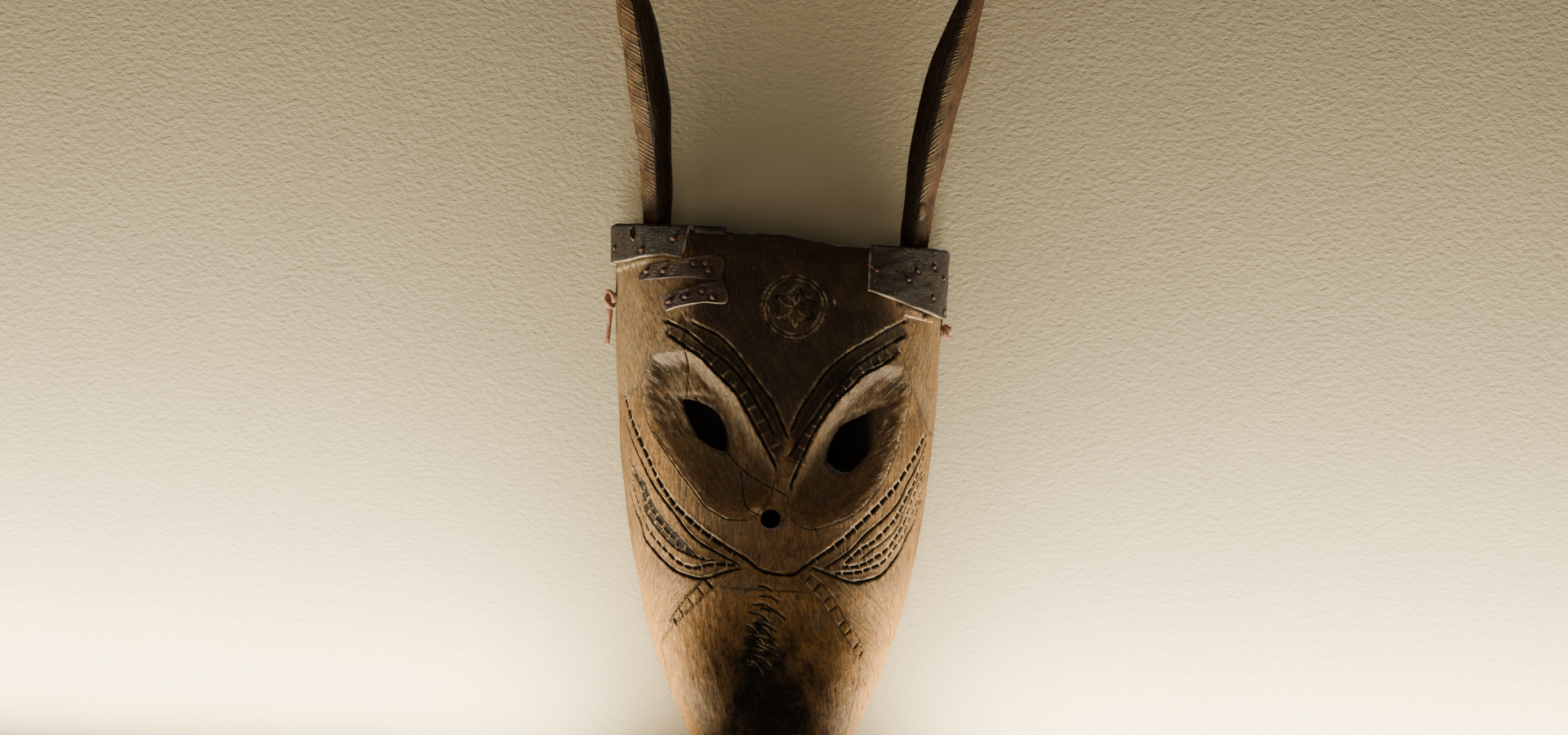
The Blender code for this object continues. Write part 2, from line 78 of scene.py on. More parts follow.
# %% Camera
AIM = Vector((3.3, 0.0, -28.2)) * MM
CAMERA_DISTANCE = 1.8
CAMERA_AZIMUTH = math.radians(-1.0)
CAMERA_ROLL = math.radians(3.0)


def face_towards(obj, place, target, roll=0.0):
    """Puts obj at place with its -Z axis towards target, then rolls it about that axis."""
    facing = (Vector(target) - Vector(place)).to_track_quat("-Z", "Y").to_matrix()
    obj.location = place
    obj.rotation_euler = (facing @ Matrix.Rotation(roll, 3, "Z")).to_euler()


camera = bpy.data.objects.new("camera", bpy.data.cameras.new("camera"))
camera.data.lens = 74.0
bpy.context.scene.collection.objects.link(camera)
towards_viewer = Vector((math.sin(CAMERA_AZIMUTH), -math.cos(CAMERA_AZIMUTH), 0.0))
face_towards(camera, AIM + CAMERA_DISTANCE * towards_viewer, AIM, CAMERA_ROLL)
bpy.context.scene.camera = camera
print("the camera is", CAMERA_DISTANCE, "m away")

# %% [markdown]
# ## Meshes from arrays
# Each piece is worked out as whole arrays of points and faces, so one helper turns arrays into an
# object, names the body that it moves with, and stores any values kept at the points.

# %% Making a piece
CROWN_DROOP = 0.005


def grid_faces(rows, columns, closed_columns=False):
    """Quads of a grid of rows by columns points, closed round its columns or not."""
    across = columns if closed_columns else columns - 1
    i, j = np.meshgrid(np.arange(rows - 1), np.arange(across), indexing="ij")
    k = (j + 1) % columns
    corners = [i * columns + j, i * columns + k, (i + 1) * columns + k, (i + 1) * columns + j]
    return np.stack(corners, axis=-1).reshape(-1, 4)


def signed_volume(points, faces):
    """Volume inside a closed mesh, which is negative if its faces look inwards."""
    total = 0.0
    for second in range(1, faces.shape[1] - 1):
        a, b, c = points[faces[:, 0]], points[faces[:, second]], points[faces[:, second + 1]]
        total += (a * np.cross(b, c)).sum() / 6
    return total


def welded(points, faces, within=1e-7):
    """Merges points in the same place and drops faces left with under three corners."""
    _, first, same = np.unique(
        np.round(points / within).astype(np.int64), axis=0, return_index=True, return_inverse=True
    )
    points, faces = points[first], same.reshape(-1)[faces]
    kept = []
    for face in faces.tolist():
        corners = [a for a, b in zip(face, face[1:] + face[:1]) if a != b]
        if len(corners) > 2 and len(set(corners)) == len(corners):
            kept.append(corners)
    return points, kept


def mesh_of(name, points, faces):
    mesh = bpy.data.meshes.new(name)
    mesh.from_pydata(np.asarray(points).tolist(), [], [list(map(int, face)) for face in faces])
    mesh.update()
    return mesh


def settle(mesh):
    """Lowers the crown towards the right by up to CROWN_DROOP, and all that sits on it as much."""
    places = np.empty(len(mesh.vertices) * 3)
    mesh.vertices.foreach_get("co", places)
    places = places.reshape(-1, 3)
    x, z = places[:, 0] / MM, places[:, 2] / MM
    across = np.clip((x + 8) / 50, 0, 1)
    up = np.clip((z - 12) / 32, 0, 1)
    places[:, 2] -= CROWN_DROOP * (across * across * (3 - 2 * across)) * (up * up * (3 - 2 * up))
    mesh.vertices.foreach_set("co", places.ravel().astype(np.float32))
    mesh.update()


def add_piece(name, mesh, body, finish, replaced=(), sharp=50):
    """Makes mesh a finished piece: smooth but for edges over sharp degrees."""
    settle(mesh)
    mesh.name = name
    obj = bpy.data.objects.new(name, mesh)
    bpy.context.scene.collection.objects.link(obj)
    mesh.shade_smooth()
    mesh.set_sharp_from_angle(angle=math.radians(sharp))
    mesh.materials.clear()
    mesh.materials.append(finish)
    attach(obj, body)
    if replaced:
        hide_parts(*replaced)
    print(name, "has", len(mesh.polygons), "faces")
    return obj


def store(mesh, name, values):
    """Keeps one number per point in the mesh, for the material to read by name."""
    mesh.attributes.new(name, "FLOAT", "POINT").data.foreach_set(
        "value", np.asarray(values, np.float32)
    )


def store_strokes(mesh, across, along):
    """Keeps how far across and along the blade's strokes each point lies."""
    places = np.stack([across, along, 0 * along], axis=1).astype(np.float32)
    attribute = mesh.attributes.new("strokes", "FLOAT_VECTOR", "POINT")
    attribute.data.foreach_set("vector", places.ravel())


print("pieces settle by up to", CROWN_DROOP / MM, "mm at the crown's right")

# %% [markdown]
# ## Finishes
# A finish is a tree of nodes. Three effects are shared, so each is built once as a group: the marks
# that a blade leaves, which run along the strokes; grime, which settles in blotches; and the fine
# creases of hide. Groups put out only numbers, and each finish turns them into its own colours.

# %% Helpers for node trees


def add_node(tree, kind, inputs=None, **settings):
    """One node, with its settings, and its inputs either linked from a socket or set to a value."""
    node = tree.nodes.new(kind)
    for setting, value in settings.items():
        setattr(node, setting, value)
    for key, value in (inputs or {}).items():
        if isinstance(value, bpy.types.NodeSocket):
            tree.links.new(value, node.inputs[key])
        else:
            node.inputs[key].default_value = value
    return node


def sums(tree, operation, a, b=0.0, c=0.0, clamp=False):
    return add_node(
        tree, "ShaderNodeMath", {0: a, 1: b, 2: c}, operation=operation, use_clamp=clamp
    ).outputs[0]


def between(tree, value, low, high, start=0.0, end=1.0):
    """Takes value from low..high to start..end with soft ends."""
    inputs = {"Value": value, "From Min": low, "From Max": high, "To Min": start, "To Max": end}
    kind = "ShaderNodeMapRange"
    return add_node(tree, kind, inputs, interpolation_type="SMOOTHSTEP").outputs[0]


def blended(tree, share, under, over, how="MIX"):
    """Colour over laid on colour under by share."""
    colours = [c if isinstance(c, bpy.types.NodeSocket) else (*c, 1.0) for c in (under, over)]
    inputs = {0: share, 6: colours[0], 7: colours[1]}
    kind = "ShaderNodeMix"
    return add_node(tree, kind, inputs, data_type="RGBA", blend_type=how).outputs[2]


def layered(tree, colour, *layers):
    """A colour with each (share, colour) of layers laid over it in turn."""
    for share, over in layers:
        colour = blended(tree, share, colour, over)
    return colour


def times(tree, a, b):
    return sums(tree, "MULTIPLY", a, b)


def added(tree, a, times_b, c):
    """a times times_b, plus c."""
    return sums(tree, "MULTIPLY_ADD", a, times_b, c)


def effect(tree, group, **inputs):
    """The outputs of a shared effect, with each input linked or set."""
    return add_node(tree, "ShaderNodeGroup", inputs, node_tree=group).outputs


def noise(tree, vector, scale, detail=4.0, roughness=0.6):
    inputs = {"Vector": vector, "Scale": scale, "Detail": detail, "Roughness": roughness}
    return add_node(tree, "ShaderNodeTexNoise", inputs).outputs[0]


def stretched(tree, vector, scale, turn=(0.0, 0.0, 0.0)):
    inputs = {"Vector": vector, "Scale": scale, "Rotation": turn}
    return add_node(tree, "ShaderNodeMapping", inputs).outputs[0]


def kept(tree, name):
    """The number stored in the mesh under name."""
    return add_node(tree, "ShaderNodeAttribute", attribute_name=name).outputs["Fac"]


def new_group(name, inputs, outputs):
    """An empty group with named number and vector inputs and number outputs."""
    group = bpy.data.node_groups.new(name, "ShaderNodeTree")
    for socket, kind in inputs.items():
        group.interface.new_socket(socket, in_out="INPUT", socket_type=kind)
    for socket in outputs:
        group.interface.new_socket(socket, in_out="OUTPUT", socket_type="NodeSocketFloat")
    return group, group.nodes.new("NodeGroupInput").outputs, group.nodes.new("NodeGroupOutput")


def new_finish(name):
    """An empty material with its shader, and the object's own coordinates."""
    finish = bpy.data.materials.new(name)
    finish.use_nodes = True
    tree = finish.node_tree
    tree.nodes.clear()
    shader = tree.nodes.new("ShaderNodeBsdfPrincipled")
    output = tree.nodes.new("ShaderNodeOutputMaterial")
    tree.links.new(shader.outputs[0], output.inputs[0])
    place = tree.nodes.new("ShaderNodeTexCoord").outputs["Object"]
    return finish, tree, shader, place


def wire(tree, shader, colour, roughness, height, depth, strength=1.0):
    """Feeds a finish: colour, roughness, and a height that is depth metres from 0 to 1."""
    bump = add_node(tree, "ShaderNodeBump", {"Height": height, "Distance": depth})
    bump.inputs["Strength"].default_value = strength
    tree.links.new(colour, shader.inputs["Base Color"])
    if isinstance(roughness, bpy.types.NodeSocket):
        tree.links.new(roughness, shader.inputs["Roughness"])
    else:
        shader.inputs["Roughness"].default_value = roughness
    tree.links.new(bump.outputs[0], shader.inputs["Normal"])


print("the helpers for node trees are ready")

# %% Blade marks
VECTOR = "NodeSocketVector"
NUMBER = "NodeSocketFloat"
made_of = {"Strokes": VECTOR, "Grain": VECTOR}
blade_marks, into, out = new_group("blade_marks", made_of, ("Scratch", "Streak", "Pore"))
fine_strokes = stretched(blade_marks, into["Strokes"], (1300.0, 150.0, 1.0))
wide_strokes = stretched(blade_marks, into["Strokes"], (430.0, 60.0, 1.0))
scratch = noise(blade_marks, fine_strokes, 1.0, 4.0, 0.62)
streak = noise(blade_marks, wide_strokes, 1.0, 4.0, 0.6)
along_grain = stretched(blade_marks, into["Grain"], (1.0, 1.0, 0.10))
pore = noise(blade_marks, along_grain, 900.0, 2.0, 0.5)
blade_marks.links.new(between(blade_marks, scratch, 0.54, 0.64), out.inputs["Scratch"])
blade_marks.links.new(streak, out.inputs["Streak"])
blade_marks.links.new(pore, out.inputs["Pore"])
print("blade marks follow the strokes")

# %% Grime
SIZED = {"Vector": VECTOR, "Scale": NUMBER}
grime, into, out = new_group("grime", SIZED, ("Blotch", "Speck", "Fleck"))
blotch = noise(grime, into["Vector"], into["Scale"], 5.0, 0.62)
speck = noise(grime, into["Vector"], times(grime, into["Scale"], 9.0), 3.0, 0.6)
grime.links.new(between(grime, blotch, 0.36, 0.64), out.inputs["Blotch"])
grime.links.new(speck, out.inputs["Speck"])
grime.links.new(between(grime, speck, 0.66, 0.74), out.inputs["Fleck"])
print("grime lies in blotches, specks and flecks")

# %% Hide creases
hide_creases, into, out = new_group("hide_creases", SIZED, ("Crease", "Pit"))
at_cells = {"Vector": into["Vector"], "Scale": into["Scale"]}
kind = "ShaderNodeTexVoronoi"
cells = add_node(hide_creases, kind, at_cells, feature="DISTANCE_TO_EDGE").outputs["Distance"]
pit = noise(hide_creases, into["Vector"], times(hide_creases, into["Scale"], 0.4), 4.0, 0.6)
hide_creases.links.new(between(hide_creases, cells, 0.0, 0.14), out.inputs["Crease"])
hide_creases.links.new(pit, out.inputs["Pit"])
print("three shared effects are ready")

# %% [markdown]
# ### The face's wood
# One wood shows six faces: brown where hands polished it, near black over the brow, grey and pale
# where it was scraped thin, golden at the lower edges, soot black on the snout, and dark dirt at
# the bottom of every cut with a pale lip beside it. Some of it is painted light and shade: the
# golden lower edges and snout are a painted glow of the light from below, the snout's soot holds
# painted shade above the muzzle's flare, the cuts' dark is dirt with painted shade, the pale upper
# lips are painted highlights with wear, and painted shade darkens the sockets, the eye rims, the
# hollow and the walls of the holes. The carving stores where each of these lies, and the finish
# only mixes them, so colour and carving can't drift apart.

# %% Face wood
face_wood, tree, shader, place = new_finish("face_wood")
strokes = add_node(tree, "ShaderNodeAttribute", attribute_name="strokes").outputs["Vector"]
marks = effect(tree, blade_marks, Strokes=strokes, Grain=place)
dirt = effect(tree, grime, Vector=place, Scale=42.0)
broad = effect(tree, grime, Vector=place, Scale=13.0)
brown = blended(tree, broad["Blotch"], (0.085, 0.0420, 0.0150), (0.215, 0.110, 0.0360))
scratched = times(tree, marks["Scratch"], kept(tree, "scratchy"))
mottled = times(tree, between(tree, dirt["Speck"], 0.54, 0.70), 0.55)
soot_and_shade_share = between(tree, added(tree, dirt["Speck"], 0.5, kept(tree, "soot_and_shade")), 0.24, 1.15)
colour = layered(
    tree,
    brown,
    (between(tree, marks["Streak"], 0.42, 0.62, 0.0, 0.62), (0.285, 0.150, 0.052)),
    (times(tree, dirt["Blotch"], 0.32), (0.030, 0.0165, 0.0085)),
    # golden: a painted glow of the light from below on the lower edges and the snout, and a golden tone
    # on the back
    (kept(tree, "golden"), (0.44, 0.205, 0.036)),
    (kept(tree, "pale"), (0.190, 0.132, 0.076)),
    # shadowed: painted shade in the sockets, on the nose ridge and round the eye rims
    (kept(tree, "shadowed"), (0.034, 0.0195, 0.0100)),
    # near black: a dark stain over the brow, and painted shade in the hollow and on the walls of the
    # holes
    (kept(tree, "blackened_and_shade"), (0.0155, 0.0096, 0.0066)),
    (times(tree, scratched, 0.75), (0.34, 0.25, 0.155)),
    (between(tree, marks["Pore"], 0.50, 0.62, 0.0, 0.40), (0.022, 0.0125, 0.007)),
    (mottled, (0.016, 0.0095, 0.006)),
    (times(tree, dirt["Fleck"], 0.30), (0.26, 0.165, 0.085)),
    # soot black on the snout, with painted shade above the muzzle's flare
    (soot_and_shade_share, (0.0042, 0.0034, 0.0030)),
    (kept(tree, "bare"), (0.46, 0.335, 0.205)),
    # dark in the cuts, holes and nostrils: dirt with painted shade
    (kept(tree, "cut"), (0.0050, 0.0036, 0.0030)),
    # pale lips, strongest on the upper side: painted highlight, with wear
    (kept(tree, "lip"), (0.42, 0.305, 0.175)),
)
polish = between(tree, dirt["Speck"], 0.2, 0.8, 0.44, 0.66)
dull = added(tree, kept(tree, "cut"), 0.3, polish)
dull = sums(tree, "MULTIPLY_ADD", kept(tree, "soot_and_shade"), 0.35, dull, True)
relief = added(tree, marks["Scratch"], -0.65, marks["Streak"])
relief = added(tree, marks["Pore"], 0.35, relief)
relief = added(tree, dirt["Speck"], 0.55, relief)
wire(tree, shader, colour, dull, relief, 0.00085)
shader.inputs["Specular IOR Level"].default_value = 0.24
print("face_wood has", len(tree.nodes), "nodes")

# %% Horn wood
horn_wood, tree, shader, place = new_finish("horn_wood")
strokes = add_node(tree, "ShaderNodeAttribute", attribute_name="strokes").outputs["Vector"]
marks = effect(tree, blade_marks, Strokes=strokes, Grain=place)
dirt = effect(tree, grime, Vector=place, Scale=60.0)
colour = layered(
    tree,
    blended(tree, dirt["Blotch"], (0.0200, 0.0100, 0.0050), (0.052, 0.0215, 0.0090)),
    (kept(tree, "golden"), (0.090, 0.0430, 0.0140)),
    (between(tree, marks["Streak"], 0.42, 0.66, 0.0, 0.5), (0.085, 0.040, 0.015)),
    (kept(tree, "blackened_and_shade"), (0.0120, 0.0070, 0.0045)),
    (between(tree, dirt["Speck"], 0.54, 0.70, 0.0, 0.5), (0.012, 0.0075, 0.005)),
    (times(tree, marks["Scratch"], kept(tree, "scratchy")), (0.34, 0.22, 0.105)),
    (kept(tree, "cut"), (0.006, 0.0045, 0.004)),
    (kept(tree, "lip"), (0.36, 0.245, 0.125)),
)
relief = added(tree, marks["Scratch"], -0.5, marks["Streak"])
relief = added(tree, marks["Pore"], 0.4, relief)
relief = added(tree, dirt["Speck"], 0.3, relief)
wire(tree, shader, colour, between(tree, dirt["Speck"], 0.2, 0.8, 0.46, 0.66), relief, 0.0005)
shader.inputs["Specular IOR Level"].default_value = 0.28
print("horn_wood has", len(tree.nodes), "nodes")

# %% [markdown]
# ### Leather and iron
# The patches are thick harness leather gone hard and black, with a cool sheen on the crests and raw
# pale fibre where the knife cut it. The lace is soft and fuzzy, rust orange. The tacks and nails are
# hand-made iron: black scale with rust eaten into it.

# %% Patch leather


def patch_finish(name, dark, worn, brown, brown_share):
    """Hide between dark and worn, with brown in its pits by brown_share."""
    finish, tree, shader, place = new_finish(name)
    dirt = effect(tree, grime, Vector=place, Scale=75.0)
    skin = effect(tree, hide_creases, Vector=place, Scale=950.0)
    colour = layered(
        tree,
        blended(tree, dirt["Blotch"], dark, worn),
        (times(tree, skin["Pit"], brown_share), brown),
        (times(tree, dirt["Fleck"], 0.35), (0.11, 0.088, 0.070)),
        (kept(tree, "dent"), (0.004, 0.003, 0.003)),
        (kept(tree, "rust"), (0.115, 0.040, 0.018)),
        (kept(tree, "lip"), (0.40, 0.315, 0.215)),
    )
    relief = added(tree, skin["Crease"], 0.35, skin["Pit"])
    relief = added(tree, dirt["Speck"], 0.8, relief)
    roughness = between(tree, dirt["Speck"], 0.25, 0.75, 0.32, 0.58)
    wire(tree, shader, colour, roughness, relief, 0.00045)
    shader.inputs["Specular IOR Level"].default_value = 0.42
    return finish


HIDES = {
    "patch_leather": ((0.0028, 0.0022, 0.0018), (0.0260, 0.0165, 0.0105), (0.052, 0.030, 0.017), 0.5),
    "brow_leather": ((0.0130, 0.0072, 0.0055), (0.046, 0.0230, 0.0165), (0.085, 0.042, 0.026), 0.6),
    "scrap_leather": ((0.070, 0.034, 0.015), (0.24, 0.125, 0.052), (0.30, 0.18, 0.085), 0.5),
}
patch_leather, brow_leather, scrap_leather = [patch_finish(name, *hide) for name, hide in HIDES.items()]
print("three leathers are mixed")

# %% Lace leather
lace_leather, tree, shader, place = new_finish("lace_leather")
dirt = effect(tree, grime, Vector=place, Scale=260.0)
skin = effect(tree, hide_creases, Vector=place, Scale=1500.0)
colour = layered(
    tree,
    blended(tree, dirt["Blotch"], (0.155, 0.048, 0.012), (0.40, 0.145, 0.036)),
    (times(tree, dirt["Fleck"], 0.6), (0.62, 0.34, 0.16)),
)
relief = added(tree, skin["Crease"], 0.5, dirt["Speck"])
wire(tree, shader, colour, between(tree, dirt["Speck"], 0.2, 0.8, 0.62, 0.85), relief, 0.0004)
shader.inputs["Sheen Weight"].default_value = 0.35
print("lace_leather has", len(tree.nodes), "nodes")

# %% Old iron
old_iron, tree, shader, place = new_finish("old_iron")
dirt = effect(tree, grime, Vector=place, Scale=420.0)
colour = layered(
    tree,
    blended(tree, dirt["Blotch"], (0.030, 0.022, 0.019), (0.185, 0.072, 0.032)),
    (times(tree, dirt["Fleck"], 0.5), (0.32, 0.15, 0.07)),
)
roughness = between(tree, dirt["Speck"], 0.3, 0.7, 0.42, 0.75)
wire(tree, shader, colour, roughness, dirt["Speck"], 0.0003)
tree.links.new(between(tree, dirt["Blotch"], 0.2, 0.8, 0.75, 0.15), shader.inputs["Metallic"])
print("seven finishes are mixed")

# %% [markdown]
# ## The lace
# The lace runs from the knot on the left, through its hole, round behind the wearer's face, and out
# to the knot on the right. It is a limp round thong, so it is a tube carried along that route. The
# knots are the same thong tied over itself. The free end hangs from the left knot and can swing.

# %% A round cord along a route


def unit(vectors):
    return vectors / np.maximum(np.linalg.norm(vectors, axis=-1, keepdims=True), 1e-12)


def rounded_route(points, step, closed=False):
    """Points about every step metres along the Catmull-Rom curve through the given ones."""
    points = np.array(points, float)
    if closed:
        points = np.vstack([points[-1], points, points[0], points[1]])
    else:
        points = np.vstack([2 * points[0] - points[1], points, 2 * points[-1] - points[-2]])
    stretches = []
    for a, b, c, d in zip(points, points[1:], points[2:], points[3:]):
        t = np.linspace(0, 1, max(1, round(np.linalg.norm(c - b) / step)), endpoint=False)[:, None]
        bend = (2 * a - 5 * b + 4 * c - d) * t ** 2 + (3 * b - a - 3 * c + d) * t ** 3
        stretches.append((2 * b + (c - a) * t + bend) / 2)
    if not closed:
        stretches.append(points[-2:-1])
    return np.vstack(stretches)


THONG_SIDES = 14


def carried_along(route, profile, closed=False):
    """A profile carried along a route. profile(around, share) gives the offsets (sideways, upwards)
    at angle around and share of the length; the two axes are kept from twisting by projecting one
    fixed direction square to the route."""
    way = np.gradient(route, axis=0) if not closed else np.roll(route, -1, 0) - np.roll(route, 1, 0)
    way = unit(way)
    steady = np.array((0.0, 1.0, 0.0)) if abs(way[:, 1]).max() < 0.93 else np.array((0.31, 0.28, 0.91))
    sideways = unit(np.cross(way, steady))
    upwards = np.cross(sideways, way)
    around = np.linspace(0, 2 * np.pi, THONG_SIDES, endpoint=False)
    share = np.linspace(0, 1, len(route))
    over, up = profile(around[None, :], share[:, None])
    return route[:, None] + over[..., None] * sideways[:, None] + up[..., None] * upwards[:, None]


def tube_mesh(name, route, radius, closed=False, fuzz=0.06, seed=1):
    """A thong: a circle of that radius, uneven by the share fuzz, carried along the route."""
    random = np.random.default_rng(seed)
    waves = random.uniform(0, 2 * np.pi, 6)

    def profile(around, share):
        beat = len(route) * 0.35
        swell = np.sin(share * beat + waves[0]) + np.sin(2 * around + share * beat * 0.6 + waves[1])
        swell = swell + np.sin(3 * around - share * beat * 1.7 + waves[2])
        size = radius * (1 + fuzz * swell / 2)
        if not closed:
            close_in = np.minimum(share, 1 - share) * (len(route) - 1)
            size = size * np.sqrt(1 - np.clip(1 - close_in / 1.5, 0, 1) ** 2)
        return size * np.cos(around), size * np.sin(around)

    rings = carried_along(route, profile, closed)
    if closed:
        rings = np.concatenate([rings, rings[:1]])
    rows, columns = rings.shape[:2]
    points, faces = rings.reshape(-1, 3), grid_faces(rows, columns, True)
    faces = faces if signed_volume(points, faces) > 0 else faces[:, ::-1]
    return mesh_of(name, *welded(points, faces))


print("a thong has", THONG_SIDES, "sides")

# %% The lace behind the face
LACE_RADIUS = 0.0016
LACE_ROUTE = [
    (-0.0918, -0.0180, 0.0045), (-0.0860, -0.0180, 0.0045), (-0.0800, -0.0178, 0.0036),
    (-0.0762, -0.0172, -0.0010), (-0.0746, -0.0165, -0.0085), (-0.0715, -0.0145, -0.0300),
    (-0.0625, -0.0120, -0.0600), (-0.0515, -0.0105, -0.0850), (-0.0390, -0.0095, -0.1050),
    (-0.0235, -0.0090, -0.1200), (0.0000, -0.0088, -0.1280), (0.0235, -0.0090, -0.1210),
    (0.0390, -0.0095, -0.1070), (0.0515, -0.0105, -0.0880), (0.0625, -0.0120, -0.0640),
    (0.0700, -0.0145, -0.0370), (0.0722, -0.0165, -0.0190), (0.0738, -0.0176, -0.0100),
    (0.0776, -0.0180, -0.0052), (0.0830, -0.0180, -0.0040), (0.0886, -0.0180, -0.0040),
]
lace_line = rounded_route(LACE_ROUTE, 0.0012)
lace_mesh = tube_mesh("lace_thong", lace_line, LACE_RADIUS)
lace = add_piece("lace_thong", lace_mesh, "mask", lace_leather, ["lace"])

# %% Knots and the free end


def box_centre(node):
    low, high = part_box(node)
    return np.array((low + high) / 2)


def box_size(node):
    low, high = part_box(node)
    return np.array(high - low)


def knot_mesh(name, centre, size, turns, radius, seed):
    """A thong wound over itself: a torus knot squeezed into a box of that size. Angle a runs round
    once per turn while the thong passes in and out three times for every two turns."""
    a = np.linspace(0, 2 * np.pi * turns, 64 * turns, endpoint=False)
    swing = 1 + 0.42 * np.cos(1.5 * a)
    loop = np.stack([0.36 * np.sin(1.5 * a), swing * np.cos(a), swing * np.sin(a)], axis=1)
    loop *= (size / 2 - radius) / np.abs(loop).max(0)
    return tube_mesh(name, centre + loop, radius, True, 0.10, seed)


for side_name, seed in (("left", 4), ("right", 9)):
    node = "knot_" + side_name
    knot = knot_mesh("tied_" + node, box_centre(node), box_size(node) * 1.12, 2, 0.00125, seed)
    add_piece("tied_" + node, knot, "mask", lace_leather, [node])

end_low, end_high = (np.array(corner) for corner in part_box("lace_end"))
end_centre = (end_low + end_high) / 2
END_POINTS = 24
INTO_KNOT = 0.0012
end_share = np.linspace(0, 1, END_POINTS)
hang = np.zeros((END_POINTS, 3))
hang[:, 2] = end_high[2] + INTO_KNOT + (end_low[2] - end_high[2] - INTO_KNOT) * end_share
hang[:, 0] = end_centre[0] + 0.0006 * np.sin(5 * end_share) * end_share
hang[:, 1] = end_centre[1] + 0.0004 * np.sin(7 * end_share) * end_share
end_mesh = tube_mesh("lace_free_end", hang, LACE_RADIUS * 0.95, fuzz=0.14, seed=3)
add_piece("lace_free_end", end_mesh, "lace_end", lace_leather, ["lace_end"])

# %% [markdown]
# ## The face's form
# The block is a squarish half round that narrows to the chin, worked out from the same few numbers
# as the frame: a half width and a depth at each height. Everything else on the face is placed on
# this form, so it comes first, as plain functions of the height z and the angle round the front.

# %% The outer form
FACE_TOP = 0.044
FACE_HEIGHT = 0.312
FACE_HALF_WIDTH = 0.0923
FACE_TAPER = 0.010
FACE_SHIFT = -0.0012
FACE_LEAN = -0.028
SQUARENESS = 2.5
# share of the height below the top, how far the face stands out there
FACE_DEPTHS = [
    (0.0, 0.061), (0.14, 0.075), (0.33, 0.087), (0.46, 0.0925), (0.56, 0.095), (0.64, 0.0985),
    (0.72, 0.108), (0.80, 0.118), (0.865, 0.122), (0.93, 0.1175), (0.975, 0.102), (1.0, 0.072),
]


def smooth_through(table):
    """A function through the table's points that rises and falls only where they do: cubics between
    the points, whose slopes there are the weighted harmonic means of the slopes on both sides."""
    xs, ys = np.array(table, float).T
    step = np.diff(xs)
    slope = np.diff(ys) / step
    before, after = slope[:-1], slope[1:]
    near, far = 2 * step[1:] + step[:-1], step[1:] + 2 * step[:-1]
    same_way = before * after > 0
    safe = np.where(same_way[:, None], np.stack([before, after], 1), 1.0)
    mean = (near + far) / (near / safe[:, 0] + far / safe[:, 1])
    tangent = np.concatenate([slope[:1], np.where(same_way, mean, 0.0), slope[-1:]])

    def value(x):
        x = np.clip(x, xs[0], xs[-1])
        i = np.clip(np.searchsorted(xs, x, side="right") - 1, 0, len(step) - 1)
        t = (x - xs[i]) / step[i]
        start = ys[i] * (1 + 2 * t) * (1 - t) ** 2 + tangent[i] * step[i] * t * (1 - t) ** 2
        return start + ys[i + 1] * t * t * (3 - 2 * t) + tangent[i + 1] * step[i] * t * t * (t - 1)

    return value


face_depth = smooth_through(FACE_DEPTHS)


def middle(z):
    return FACE_SHIFT + FACE_LEAN * z


def outline_share(drop):
    """How much of its width an outline keeps at this share of its height below the top."""
    return (1 - np.clip(drop, 0, 1) ** 3.3) ** 0.60


def half_width(z):
    drop = (FACE_TOP - z) / FACE_HEIGHT
    return (FACE_HALF_WIDTH - FACE_TAPER * drop) * outline_share(drop)


def depth_at(z):
    return face_depth((FACE_TOP - z) / FACE_HEIGHT)


def signed_power(value, power):
    return np.sign(value) * np.abs(value) ** power


def half_round(angle, z, width, depth):
    """The squarish half round: x follows the cosine and y the sine, both raised to 2/SQUARENESS."""
    x = middle(z) + width * signed_power(np.cos(angle), 2 / SQUARENESS)
    y = -depth * np.abs(np.sin(angle)) ** (2 / SQUARENESS)
    return np.stack(np.broadcast_arrays(x, y, z), axis=-1)


def front_y(x, z):
    across = np.clip(np.abs(x - middle(z)) / np.maximum(half_width(z), 1e-5), 0, 1)
    return -depth_at(z) * (1 - across ** SQUARENESS) ** (1 / SQUARENESS)


def level(points, width=half_width, depth=depth_at):
    """1 on the form, less inside it: the sum of both shares, each to the power SQUARENESS."""
    x, y, z = points.T
    across = np.abs(x - middle(z)) / np.maximum(width(z), 1e-5)
    return across ** SQUARENESS + np.abs(y / depth(z)) ** SQUARENESS


def slopes(points, width=half_width, depth=depth_at):
    """How fast level changes along each axis."""
    steps = np.eye(3) * 1e-5
    found = [level(points + s, width, depth) - level(points - s, width, depth) for s in steps]
    return np.stack(found, axis=1) / 2e-5


def on_front(places):
    """Points (x, z) in millimetres, set on the form."""
    x, z = np.array(places, float).T * MM
    return np.stack([x, front_y(x, z), z], axis=1)


print("half width at the eyes", round(float(half_width(-0.06)) / MM, 1), "mm")

# %% [markdown]
# ## Setting out the carving
# The carver drew every line by eye, so no two sides match. Each line is a short list of (x, z)
# places in millimetres, joined by a smooth curve on the form. Cuts are single grooves, ladders are
# pairs of lines with a sunk strip between them that is left standing in thin rungs.

